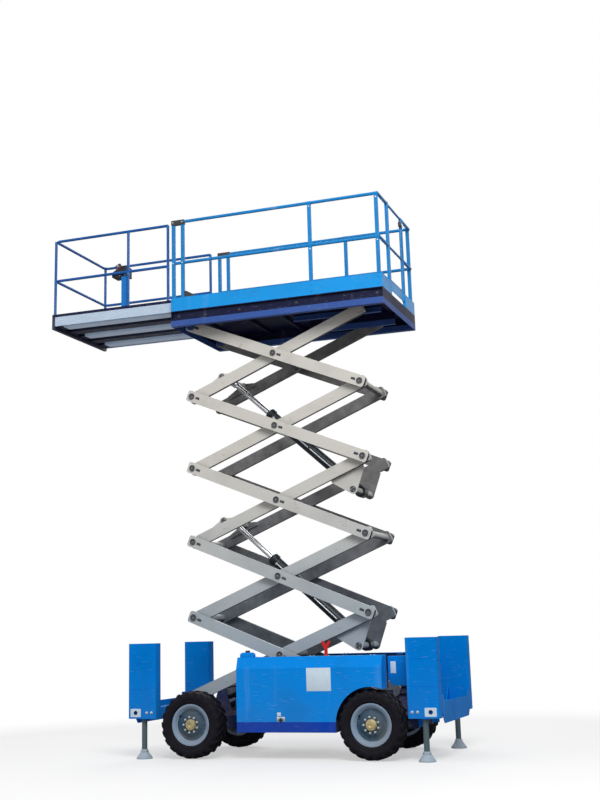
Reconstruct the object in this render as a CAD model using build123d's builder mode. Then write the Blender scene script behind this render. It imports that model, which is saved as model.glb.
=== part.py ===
from build123d import *
from math import cos, radians, sin
import os

# Self-propelled scissor lift, millimetres.  +X is forward (steered end), +Y is left, +Z is up.
# The origin is on the ground, midway between the axles.

# ---- overall sizes -------------------------------------------------------------------------
WHEELBASE = 2034.0
TYRE_RADIUS = 356.0
TYRE_WIDTH = 260.0
WHEEL_ROOM = 13.0              # from the side plates to the tyres
RIM_RADIUS = 205.0
RIM_FLANGE = 14.0              # above the bead seat
BEAD_ROOM = 3.063              # straight part of the tyre's bead, beyond the flange
PLATFORM_WIDTH = 1450.0
PLATFORM_FRONT = 1252.0
PLATFORM_REAR = -1329.0
RAIL_HEIGHT = 1100.0           # top rail above the deck
MIDRAIL_HEIGHT = 590.0
TOEBOARD = 160.0
EXTENSION_REACH = 1638.0       # how far the sliding deck stands out of the main one
EXTENSION_LENGTH = 2620.0

# ---- scissor stack -------------------------------------------------------------------------
LEVELS = 5
ARM_LENGTH = 2222.0            # pin to pin
ARM_DEPTH = 130.0
ARM_THICK = 50.0
ARM_END = 60.0                 # bar beyond its end pins
REST_ANGLE = 22.4
INNER_Y = 370.0
ARM_GAP = 30.0                 # between an inner and an outer arm
FRONT_PIN_X = 1107.0
BASE_PIN_Z = 651.0
PIN_RADIUS = 25.0
PIN_PLAY = 0.5                 # radial play of a pin in its bore
BOSS_RADIUS = 46.0
CROSS_TUBE = 38.0              # radius of the tubes that join a pair of arms
BLOCK_RADIUS = 33.0            # slide block
BLOCK_PLAY = 1.0

# ---- lift cylinders ------------------------------------------------------------------------
BRACKET_BACK = 284.0           # lower pin, back from the upper rear pin along the arm
BRACKET_DROP = 260.0           # lower pin below the arm's centre line
GUSSET_ALONG = 390.0           # upper pin, along the arm from its front pin
GUSSET_RISE = 85.0
PLATE_THICK = 14.0
SHAFT_RADIUS = 38.0
BARREL_RADIUS = 62.0
BARREL_LENGTH = 1480.0
ROD_RADIUS = 30.0
EYE_RADIUS = 44.0
EYE_WIDTH = 64.0
ROD_START = 600.0              # inner end of the rod, from the barrel's pin
# name, level of the lower bracket, level of the upper gusset
CYLINDERS = (("lower", 5, 3), ("upper", 3, 1))

# ---- chassis -------------------------------------------------------------------------------
RAIL_WIDTH = 60.0              # main frame rails
ARM_TO_RAIL = 15.0
TRACK_ROOM = 42.0              # from the outer arms to the side plates, for the slide blocks
FRAME_LOW = 290.0
FRAME_TOP = 430.0
SIDE_PLATE = 10.0
BAY_OUT = 776.0                # outer face of the side covers
STEER_ROOM = 187.0             # from the front tyres to the bays
BAY_BEHIND = 133.0             # bay behind the rear axle
BAY_LOW = 280.0
BAY_TOP = 1055.0
COVER_SHEET = 6.0
COVER_BEVEL = 118.0
ARCH_GAP = 26.0                # round the rear tyres
BOX_GAP = 44.0                 # from the tyres to the outrigger boxes
FRONT_CROSS = 57.0             # front cross member, in from the rails' ends
REAR_CROSS = 173.0             # rear cross member, behind the rear axle
BOX_WIDTH = 336.0
BOX_IN = 670.0
BOX_OUT = 812.0
BOX_LOW = 423.0
BOX_TOP = 1226.0
END_PLATE = 10.0               # plate that joins a pair of boxes
END_PLATE_TOP = 640.0
LASH_RADIUS = 22.0             # lashing holes in the boxes
LASH_DEEP = 30.0
LASH_UP = 62.0
LASH_OUT = 75.0                # from the leg towards the machine's end
LEG_RADIUS = 30.0
FOOT_RADIUS = 88.0

# ---- steering ------------------------------------------------------------------------------
KINGPIN_IN = 125.0             # in from the tyre's middle
STEER_ARM_BACK = 120.0
TIE_DROP = 80.0                # tie rod below the axle

# ---- worked out ----------------------------------------------------------------------------
AXLE_Z = TYRE_RADIUS
FRONT_X = WHEELBASE / 2
REAR_X = -WHEELBASE / 2
OUTER_Y = INNER_Y + ARM_THICK + ARM_GAP
SIDE_PLATE_Y = OUTER_Y + ARM_THICK / 2 + TRACK_ROOM + SIDE_PLATE / 2
WHEEL_Y = SIDE_PLATE_Y + SIDE_PLATE / 2 + WHEEL_ROOM + TYRE_WIDTH / 2
KINGPIN_Y = WHEEL_Y - KINGPIN_IN
RAIL_Y = INNER_Y - ARM_THICK / 2 - ARM_TO_RAIL - RAIL_WIDTH / 2
BAY_FRONT = FRONT_X - TYRE_RADIUS - STEER_ROOM
BAY_REAR = REAR_X - BAY_BEHIND
ARCH_RADIUS = TYRE_RADIUS + ARCH_GAP
OUTRIGGER_X = FRONT_X + TYRE_RADIUS + BOX_GAP + BOX_WIDTH / 2
TIE_Z = AXLE_Z - TIE_DROP
LEVEL_RISE = ARM_LENGTH * sin(radians(REST_ANGLE))
REACH = ARM_LENGTH * cos(radians(REST_ANGLE))
REAR_PIN_X = FRONT_PIN_X - REACH
TOP_PIN_Z = BASE_PIN_Z + LEVELS * LEVEL_RISE
DECK_Z = TOP_PIN_Z + 141.5     # upper face of the frame, under the deck plate
FRAME_BOTTOM = TOP_PIN_Z - 45.5
SIDES = (("left", 1), ("right", -1))
ENDS = (("front", 1), ("rear", -1))

os.makedirs("parts", exist_ok=True)


def save(builder, name):
    """Label a finished piece and write it."""
    builder.part.label = name
    export_step(builder.part, f"parts/{name}.step")


def block(x, y, z, mode=Mode.ADD):
    """Add a block between pairs of x, y and z."""
    size = [abs(pair[1] - pair[0]) for pair in (x, y, z)]
    middle = [sum(pair) / 2 for pair in (x, y, z)]
    with Locations(tuple(middle)):
        Box(*size, mode=mode)


def bar_y(x, z, y, radius, mode=Mode.ADD):
    """Add a round bar along Y between a pair of y."""
    with Locations(Location((x, sum(y) / 2, z), (90, 0, 0))):
        Cylinder(radius, abs(y[1] - y[0]), mode=mode)


def bar_z(x, y, z, radius, mode=Mode.ADD):
    """Add a round bar along Z between a pair of z."""
    with Locations((x, y, sum(z) / 2)):
        Cylinder(radius, abs(z[1] - z[0]), mode=mode)


def tube_run(points, radius, bend=60.0):
    """Add a round tube along straight runs with bent corners."""
    with BuildLine() as path:
        if len(points) == 2:
            Line(*points)
        else:
            FilletPolyline(*points, radius=bend)
    with BuildSketch(Plane(origin=path.line @ 0, z_dir=path.line % 0)) as section:
        Circle(radius)
    sweep(sections=section.sketch, path=path.line)


def level_base(level):
    """Height of the lower pins of a level; level 1 is the top one."""
    return BASE_PIN_Z + (LEVELS - level) * LEVEL_RISE


def inner_point(level, along, above):
    """x and z of a point of an inner arm, from its front pin."""
    c, s = cos(radians(REST_ANGLE)), sin(radians(REST_ANGLE))
    return (FRONT_PIN_X - along * c + above * s, level_base(level) + along * s + above * c)


def outer_point(level, along, above):
    """x and z of a point of an outer arm, from its rear pin."""
    c, s = cos(radians(REST_ANGLE)), sin(radians(REST_ANGLE))
    return (REAR_PIN_X + along * c - above * s, level_base(level) + along * s + above * c)


def inner_plane(level, y):
    """Plane of an inner arm, x along it from its front pin, y upwards."""
    c, s = cos(radians(REST_ANGLE)), sin(radians(REST_ANGLE))
    return Plane(origin=(FRONT_PIN_X, y, level_base(level)), x_dir=(-c, 0, s), z_dir=(0, 1, 0))


def outer_plane(level, y):
    """Plane of an outer arm, x along it from its rear pin, y upwards."""
    c, s = cos(radians(REST_ANGLE)), sin(radians(REST_ANGLE))
    return Plane(origin=(REAR_PIN_X, y, level_base(level)), x_dir=(c, 0, s), z_dir=(0, -1, 0))


def arm_outline():
    """Sketch of one arm bar."""
    with Locations((ARM_LENGTH / 2, 0)):
        RectangleRounded(ARM_LENGTH + 2 * ARM_END, ARM_DEPTH, 28)


# ---- scissor arms --------------------------------------------------------------------------
PIN_STATIONS = (0.0, ARM_LENGTH / 2, ARM_LENGTH)
BOSS_PROUD = (OUTER_Y - INNER_Y - ARM_THICK) / 2 - 1
PIN_CAP_OUT = OUTER_Y + ARM_THICK / 2 + 10
HEAD_TUBE = 250.0              # first cross tube of the bottom pair

# level: places of the cross tubes along the inner arms
CROSS_TUBES = {
    1: (0.0, ARM_LENGTH / 2),
    2: (0.0, ARM_LENGTH),
    3: (0.0, ARM_LENGTH / 2),
    4: (0.0, ARM_LENGTH),
    5: (HEAD_TUBE, ARM_LENGTH / 2),
}
PLATE_GAP = 5.0                # pad that holds a plate clear of the arms above and below
PLATE_Y = INNER_Y - ARM_THICK / 2 - PLATE_GAP - PLATE_THICK / 2
PAD_Y = INNER_Y - ARM_THICK / 2 - PLATE_GAP / 2
BRACKET_X = ARM_LENGTH - BRACKET_BACK
BRACKET_TOP = -48.0
CHEEK_Y = EYE_WIDTH / 2 + 6    # inner face of the clevis cheeks that hold a rod's eye
FOOT_LEVELS = [foot_level for name, foot_level, head_level in CYLINDERS]
HEAD_LEVELS = [head_level for name, foot_level, head_level in CYLINDERS]

for level in range(1, LEVELS + 1):
    with BuildPart() as inner:
        for name, side in SIDES:
            with BuildSketch(inner_plane(level, side * INNER_Y)):
                arm_outline()
            extrude(amount=ARM_THICK / 2, both=True)
            face = side * (INNER_Y + ARM_THICK / 2)
            for along in PIN_STATIONS:
                x, z = inner_point(level, along, 0)
                bar_y(x, z, (face - side * 10, face + side * BOSS_PROUD), BOSS_RADIUS)
                own_bore = level == LEVELS and along == 0.0
                block_end = level == 1 and along == ARM_LENGTH
                if own_bore:
                    bar_y(x, z, (side * (INNER_Y - ARM_THICK), side * OUTER_Y), PIN_RADIUS + PIN_PLAY, Mode.SUBTRACT)
                elif block_end:
                    inside = side * (INNER_Y - ARM_THICK / 2)
                    bar_y(x, z, (inside, inside - side * 32), BLOCK_RADIUS)
                else:
                    bar_y(x, z, (face - side * 10, side * PIN_CAP_OUT), PIN_RADIUS)
                    bar_y(x, z, (side * (PIN_CAP_OUT - 8), side * PIN_CAP_OUT), PIN_RADIUS + 11)
            if level in FOOT_LEVELS:
                with BuildSketch(inner_plane(level, side * PLATE_Y)):
                    with BuildLine():
                        Polyline(
                            (BRACKET_X - 190, BRACKET_TOP), (BRACKET_X + 230, BRACKET_TOP),
                            (BRACKET_X + 215, BRACKET_TOP - 50), (BRACKET_X + 46, -BRACKET_DROP - 24),
                            (BRACKET_X - 46, -BRACKET_DROP - 24), (BRACKET_X - 190, BRACKET_TOP - 40),
                            (BRACKET_X - 190, BRACKET_TOP))
                    make_face()
                    with Locations((BRACKET_X, -BRACKET_DROP)):
                        Circle(52)
                extrude(amount=PLATE_THICK / 2, both=True)
                with BuildSketch(inner_plane(level, side * PAD_Y)):
                    with Locations((BRACKET_X + 20, (BRACKET_TOP - ARM_DEPTH / 2) / 2)):
                        Rectangle(400, BRACKET_TOP + ARM_DEPTH / 2)
                extrude(amount=PLATE_GAP / 2, both=True)
            if level in HEAD_LEVELS:
                with BuildSketch(inner_plane(level, side * PLATE_Y)):
                    with BuildLine():
                        Polyline(
                            (GUSSET_ALONG - 230, 20), (GUSSET_ALONG + 150, 20),
                            (GUSSET_ALONG + 150, 62), (GUSSET_ALONG + 46, GUSSET_RISE + 20),
                            (GUSSET_ALONG - 46, GUSSET_RISE + 20), (GUSSET_ALONG - 230, 62),
                            (GUSSET_ALONG - 230, 20))
                    make_face()
                    with Locations((GUSSET_ALONG, GUSSET_RISE)):
                        Circle(50)
                extrude(amount=PLATE_THICK / 2, both=True)
                with BuildSketch(inner_plane(level, side * PAD_Y)):
                    with Locations((GUSSET_ALONG - 40, 40)):
                        Rectangle(360, 40)
                extrude(amount=PLATE_GAP / 2, both=True)
                x, z = inner_point(level, GUSSET_ALONG, GUSSET_RISE)
                bar_y(x, z, (side * PLATE_Y, side * (CHEEK_Y + PLATE_THICK)), SHAFT_RADIUS)
                bar_y(x, z, (side * CHEEK_Y, side * (CHEEK_Y + PLATE_THICK)), EYE_RADIUS + 6)
        for along in CROSS_TUBES[level]:
            x, z = inner_point(level, along, 0)
            bar_y(x, z, (-INNER_Y, INNER_Y), CROSS_TUBE)
        if level in FOOT_LEVELS:
            x, z = inner_point(level, BRACKET_X, -BRACKET_DROP)
            bar_y(x, z, (-PLATE_Y, PLATE_Y), SHAFT_RADIUS)
    save(inner, f"inner_arms_{level}")

    with BuildPart() as outer:
        for name, side in SIDES:
            with BuildSketch(outer_plane(level, side * OUTER_Y)):
                arm_outline()
            extrude(amount=ARM_THICK / 2, both=True)
            face = side * (OUTER_Y - ARM_THICK / 2)
            for along in PIN_STATIONS:
                x, z = outer_point(level, along, 0)
                block_end = level == LEVELS and along == 0.0
                if block_end:
                    outside = side * (OUTER_Y + ARM_THICK / 2)
                    bar_y(x, z, (outside, outside + side * 34), BLOCK_RADIUS)
                else:
                    bar_y(x, z, (face + side * 10, face - side * BOSS_PROUD), BOSS_RADIUS)
                    bar_y(x, z, (side * INNER_Y, side * (OUTER_Y + ARM_THICK)), PIN_RADIUS + PIN_PLAY, Mode.SUBTRACT)
    save(outer, f"outer_arms_{level}")

# ---- lift cylinders ------------------------------------------------------------------------
for name, foot_level, head_level in CYLINDERS:
    foot = inner_point(foot_level, BRACKET_X, -BRACKET_DROP)
    head = inner_point(head_level, GUSSET_ALONG, GUSSET_RISE)
    foot = Vector(foot[0], 0, foot[1])
    head = Vector(head[0], 0, head[1])
    line = Plane(origin=foot, z_dir=head - foot, x_dir=(0, 1, 0))
    reach = (head - foot).length
    with BuildPart() as barrel:
        with BuildSketch(line.offset(30)):
            Circle(BARREL_RADIUS)
        extrude(amount=BARREL_LENGTH - 30)
        with BuildSketch(line.offset(BARREL_LENGTH - 50)):
            Circle(BARREL_RADIUS + 8)
        extrude(amount=50)
        bar_y(foot.X, foot.Z, (-EYE_WIDTH, EYE_WIDTH), SHAFT_RADIUS + 24)
        with BuildSketch(line.offset(90)):
            Circle(ROD_RADIUS + 14)
        extrude(amount=BARREL_LENGTH - 140, mode=Mode.SUBTRACT)
        with BuildSketch(line.offset(90)):
            Circle(ROD_RADIUS + 0.3)
        extrude(amount=BARREL_LENGTH, mode=Mode.SUBTRACT)
        bar_y(foot.X, foot.Z, (-100, 100), SHAFT_RADIUS + PIN_PLAY, Mode.SUBTRACT)
    save(barrel, f"{name}_cylinder_barrel")
    with BuildPart() as rod:
        with BuildSketch(line.offset(ROD_START)):
            Circle(ROD_RADIUS)
        extrude(amount=reach - ROD_START)
        with BuildSketch(line.offset(ROD_START)):
            Circle(ROD_RADIUS + 12)
        extrude(amount=50)
        bar_y(head.X, head.Z, (-EYE_WIDTH / 2, EYE_WIDTH / 2), EYE_RADIUS)
        bar_y(head.X, head.Z, (-EYE_WIDTH / 2 - 4, EYE_WIDTH / 2 + 4), PIN_RADIUS)
    save(rod, f"{name}_cylinder_rod")

# ---- chassis frame -------------------------------------------------------------------------
LUG_Y = RAIL_Y + RAIL_WIDTH / 2
TRACK_OPEN = BLOCK_RADIUS + BLOCK_PLAY
TRACK_FRONT = -130.0
TRACK_REAR = REAR_X - REAR_CROSS
RAIL_END = OUTRIGGER_X - BOX_WIDTH / 2 - 10
CROSS_X = (RAIL_END - FRONT_CROSS, 420.0, -300.0, TRACK_REAR)
PLATE_TOP = BASE_PIN_Z + TRACK_OPEN + 8
NOSE = 120.0                   # side plates beyond the bays, clear of the steered tyres

with BuildPart() as chassis:
    for name, side in SIDES:
        block((-RAIL_END, RAIL_END), (side * (RAIL_Y - RAIL_WIDTH / 2), side * LUG_Y), (FRAME_LOW, FRAME_TOP))
        web = (side * (SIDE_PLATE_Y - SIDE_PLATE / 2), side * (SIDE_PLATE_Y + SIDE_PLATE / 2))
        with BuildSketch(Plane.XZ.offset(-side * SIDE_PLATE_Y)):
            with BuildLine():
                Polyline((TRACK_REAR, FRAME_TOP), (BAY_FRONT + 90, FRAME_TOP), (BAY_FRONT + NOSE, FRAME_TOP + 90),
                         (BAY_FRONT + NOSE, FRAME_TOP + 150), (BAY_FRONT + 40, PLATE_TOP), (TRACK_REAR, PLATE_TOP),
                         (TRACK_REAR, FRAME_TOP))
            make_face()
        extrude(amount=SIDE_PLATE / 2, both=True)
        flange = (side * (OUTER_Y + ARM_THICK / 2 + 6), web[0])
        for low in (BASE_PIN_Z - TRACK_OPEN - 8, BASE_PIN_Z + TRACK_OPEN):
            block((TRACK_REAR, TRACK_FRONT), flange, (low, low + 8))
        for end in (TRACK_REAR + 4, TRACK_FRONT):
            block((end - 4, end + 4), flange, (BASE_PIN_Z - TRACK_OPEN, BASE_PIN_Z + TRACK_OPEN))
        with BuildSketch(Plane.XZ.offset(-side * (LUG_Y - 8))):
            with BuildLine():
                Polyline((FRONT_PIN_X - 130, FRAME_TOP - 20), (FRONT_PIN_X + 130, FRAME_TOP - 20),
                         (FRONT_PIN_X + 55, BASE_PIN_Z), (FRONT_PIN_X - 55, BASE_PIN_Z),
                         (FRONT_PIN_X - 130, FRAME_TOP - 20))
            make_face()
            with Locations((FRONT_PIN_X, BASE_PIN_Z)):
                Circle(55)
        extrude(amount=8, both=True)
        bar_y(FRONT_PIN_X, BASE_PIN_Z, (side * (LUG_Y - 14), side * (INNER_Y + ARM_THICK / 2 + 12)), PIN_RADIUS)
        for x in CROSS_X[1:]:
            block((x - 40, x + 40), (side * (LUG_Y - 5), web[1]), (FRAME_TOP - 60, FRAME_TOP + 8))
    for x in CROSS_X:
        block((x - 40, x + 40), (-RAIL_Y, RAIL_Y), (FRAME_LOW + 20, FRAME_TOP - 10))
save(chassis, "chassis_frame")

# ---- axle beams ----------------------------------------------------------------------------
BEAM_HALF = 48.0
FORK_Z = 92.0
with BuildPart() as front_axle:
    block((FRONT_X - BEAM_HALF, FRONT_X + BEAM_HALF), (-KINGPIN_Y + 62, KINGPIN_Y - 62),
          (FRAME_LOW - 40, AXLE_Z + 60))
    for name, side in SIDES:
        for z in (FORK_Z, -FORK_Z):
            low = AXLE_Z + z - 14
            block((FRONT_X - 40, FRONT_X + 40), (side * (KINGPIN_Y - 100), side * KINGPIN_Y), (low, low + 28))
            bar_z(FRONT_X, side * KINGPIN_Y, (low, low + 28), 40)
        block((FRONT_X - 40, FRONT_X + 40), (side * (KINGPIN_Y - 100), side * (KINGPIN_Y - 62)),
              (AXLE_Z - FORK_Z, AXLE_Z + FORK_Z))
        bar_z(FRONT_X, side * KINGPIN_Y, (AXLE_Z - FORK_Z, AXLE_Z + FORK_Z), 16)
        block((FRONT_X - 58, FRONT_X + 58),
              (side * (RAIL_Y - RAIL_WIDTH / 2 - 0.2), side * (LUG_Y + 0.2)),
              (FRAME_LOW - 0.2, FRAME_TOP + 0.2), Mode.SUBTRACT)
save(front_axle, "front_axle_beam")

with BuildPart() as rear_axle:
    block((REAR_X - BEAM_HALF, REAR_X + BEAM_HALF), (-KINGPIN_Y + 62, KINGPIN_Y - 62),
          (FRAME_LOW - 40, AXLE_Z + 60))
    for name, side in SIDES:
        bar_y(REAR_X, AXLE_Z, (side * (SIDE_PLATE_Y + SIDE_PLATE / 2 + 8), side * (WHEEL_Y - 20)), 110)
        bar_y(REAR_X, AXLE_Z, (side * (KINGPIN_Y - 70), side * (WHEEL_Y - 0.3)), 48)
        block((REAR_X - 58, REAR_X + 58),
              (side * (RAIL_Y - RAIL_WIDTH / 2 - 0.2), side * (LUG_Y + 0.2)),
              (FRAME_LOW - 0.2, FRAME_TOP + 0.2), Mode.SUBTRACT)
save(rear_axle, "rear_axle_beam")

# ---- knuckles and tie rod ------------------------------------------------------------------
for name, side in SIDES:
    with BuildPart() as knuckle:
        y = side * KINGPIN_Y
        bar_z(FRONT_X, y, (AXLE_Z - FORK_Z + 16, AXLE_Z + FORK_Z - 16), 38)
        bar_y(FRONT_X, AXLE_Z, (y, side * (WHEEL_Y - 0.3)), 48)
        with BuildSketch(Plane.XY.offset(TIE_Z + 8)):
            with BuildLine():
                Polyline((FRONT_X, y - side * 22), (FRONT_X, y + side * 30),
                         (FRONT_X - STEER_ARM_BACK, y + side * 18),
                         (FRONT_X - STEER_ARM_BACK, y - side * 18), (FRONT_X, y - side * 22))
            make_face()
            with Locations((FRONT_X - STEER_ARM_BACK, y)):
                Circle(20)
        extrude(amount=18)
        bar_z(FRONT_X - STEER_ARM_BACK, y, (TIE_Z - 22, TIE_Z + 10), 12)
        bar_z(FRONT_X, y, (AXLE_Z - FORK_Z - 20, AXLE_Z + FORK_Z + 20), 16.5, Mode.SUBTRACT)
    save(knuckle, f"{name}_knuckle")

with BuildPart() as tie:
    bar_y(FRONT_X - STEER_ARM_BACK, TIE_Z - 8, (-KINGPIN_Y, KINGPIN_Y), 13)
    for name, side in SIDES:
        bar_z(FRONT_X - STEER_ARM_BACK, side * KINGPIN_Y, (TIE_Z - 24, TIE_Z + 6), 20)
        bar_z(FRONT_X - STEER_ARM_BACK, side * KINGPIN_Y, (TIE_Z - 40, TIE_Z + 20), 12.5, Mode.SUBTRACT)
save(tie, "tie_rod")

# ---- wheels --------------------------------------------------------------------------------
RIM_HALF = 110.0
DISC_IN = 60.0                 # wheel disc, in from the tyre's middle plane towards the outside
# tyre section: share of the height above the rim, share of the half width
TYRE_SECTION = ((0.232, 0.954), (0.563, 1.0), (0.828, 0.938), (0.960, 0.738), (1.0, 0.462))
BEAD_WIDE = 0.754

for end_name, end in ENDS:
    for name, side in SIDES:
        axis = Axis((end * FRONT_X, 0, AXLE_Z), (0, 1, 0))
        section = Plane(origin=(end * FRONT_X, side * WHEEL_Y, AXLE_Z), x_dir=(0, side, 0), z_dir=(side, 0, 0))
        with BuildPart() as tyre:
            with BuildSketch(section):
                with BuildLine():
                    bead = BEAD_WIDE * TYRE_WIDTH / 2
                    outline = [(bead, RIM_RADIUS), (bead, RIM_RADIUS + RIM_FLANGE + BEAD_ROOM)]
                    outline += [(wide * TYRE_WIDTH / 2, RIM_RADIUS + high * (TYRE_RADIUS - RIM_RADIUS))
                                for high, wide in TYRE_SECTION]
                    outline += [(-y, radius) for y, radius in reversed(outline)]
                    Polyline(*outline, outline[0])
                make_face()
            revolve(axis=axis)
        save(tyre, f"{end_name}_{name}_tyre")
        with BuildPart() as rim:
            with BuildSketch(section):
                with BuildLine():
                    edge = RIM_RADIUS + RIM_FLANGE
                    Polyline((-RIM_HALF, RIM_RADIUS - 22), (-RIM_HALF, edge), (-RIM_HALF + 8, edge),
                             (-RIM_HALF + 8, RIM_RADIUS - 0.3), (RIM_HALF - 8, RIM_RADIUS - 0.3),
                             (RIM_HALF - 8, edge), (RIM_HALF, edge),
                             (RIM_HALF, RIM_RADIUS - 22), (DISC_IN + 14, RIM_RADIUS - 30), (DISC_IN + 14, 130),
                             (DISC_IN + 30, 100), (DISC_IN + 30, 62), (DISC_IN + 60, 55), (DISC_IN + 60, 0),
                             (0, 0), (0, 60), (DISC_IN + 10, 80), (DISC_IN + 10, 100), (DISC_IN, 130),
                             (DISC_IN, RIM_RADIUS - 30), (20, RIM_RADIUS - 22), (-RIM_HALF, RIM_RADIUS - 22))
                make_face()
            revolve(axis=axis)
        save(rim, f"{end_name}_{name}_rim")

# ---- outriggers ----------------------------------------------------------------------------
for end_name, end in ENDS:
    with BuildPart() as frame:
        x0, x1 = OUTRIGGER_X - BOX_WIDTH / 2, OUTRIGGER_X + BOX_WIDTH / 2
        for name, side in SIDES:
            with BuildSketch(Plane.XY.offset(BOX_LOW)):
                with Locations((end * OUTRIGGER_X, side * (BOX_IN + BOX_OUT) / 2)):
                    RectangleRounded(BOX_WIDTH, BOX_OUT - BOX_IN, 22)
            extrude(amount=BOX_TOP - BOX_LOW)
            bar_z(end * OUTRIGGER_X, side * (BOX_IN + BOX_OUT) / 2, (BOX_LOW - 10, BOX_TOP - 60),
                  LEG_RADIUS + 0.5, Mode.SUBTRACT)
        block((end * (x0 + 52), end * (x0 + 160)), (-BOX_IN - 10, BOX_IN + 10), (BOX_LOW, BOX_LOW + 110))
        with BuildSketch(Plane.YZ.offset(end * (x1 - END_PLATE))):
            with BuildLine():
                Polyline((-BOX_IN - 20, BOX_LOW + 60), (-BOX_IN + 90, BOX_LOW - 60), (BOX_IN - 90, BOX_LOW - 60),
                         (BOX_IN + 20, BOX_LOW + 60), (BOX_IN + 20, END_PLATE_TOP), (-BOX_IN - 20, END_PLATE_TOP),
                         (-BOX_IN - 20, BOX_LOW + 60))
            make_face()
            with Locations((0, END_PLATE_TOP)):
                SlotOverall(2 * BOX_IN - 160, 120, mode=Mode.SUBTRACT)
        extrude(amount=end * END_PLATE)
        for name, side in SIDES:
            block((end * (RAIL_END + 0.2), end * (x0 + 60)),
                  (side * (RAIL_Y - RAIL_WIDTH / 2), side * LUG_Y), (FRAME_LOW + 20, BOX_LOW + 60))
            # gusset from the cross beam up the inner side of the box
            with BuildSketch(Plane.YZ.offset(end * (x0 + 100))):
                with BuildLine():
                    Polyline((side * (BOX_IN + 5), BOX_LOW + 100), (side * (BOX_IN - 150), BOX_LOW + 100),
                             (side * (BOX_IN + 5), BOX_LOW + 290), (side * (BOX_IN + 5), BOX_LOW + 100))
                make_face()
            extrude(amount=6, both=True)
            # round hole for a lashing hook, low in the outer face
            with Locations(Location((end * (OUTRIGGER_X + LASH_OUT), side * BOX_OUT, BOX_LOW + LASH_UP), (90, 0, 0))):
                Cylinder(LASH_RADIUS, 2 * LASH_DEEP, mode=Mode.SUBTRACT)
    save(frame, f"{end_name}_outriggers")

for end_name, end in ENDS:
    for name, side in SIDES:
        with BuildPart() as leg:
            x, y = end * OUTRIGGER_X, side * (BOX_IN + BOX_OUT) / 2
            bar_z(x, y, (60, BOX_LOW + 330), LEG_RADIUS)
            with BuildSketch(Plane.XZ.offset(-y)):
                with BuildLine():
                    Polyline((x, 0), (x + FOOT_RADIUS, 0), (x + FOOT_RADIUS, 12), (x + LEG_RADIUS + 14, 70),
                             (x + LEG_RADIUS + 6, 100), (x, 100), (x, 0))
                make_face()
            revolve(axis=Axis((x, y, 0), (0, 0, 1)))
        save(leg, f"{end_name}_{name}_leg")

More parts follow.
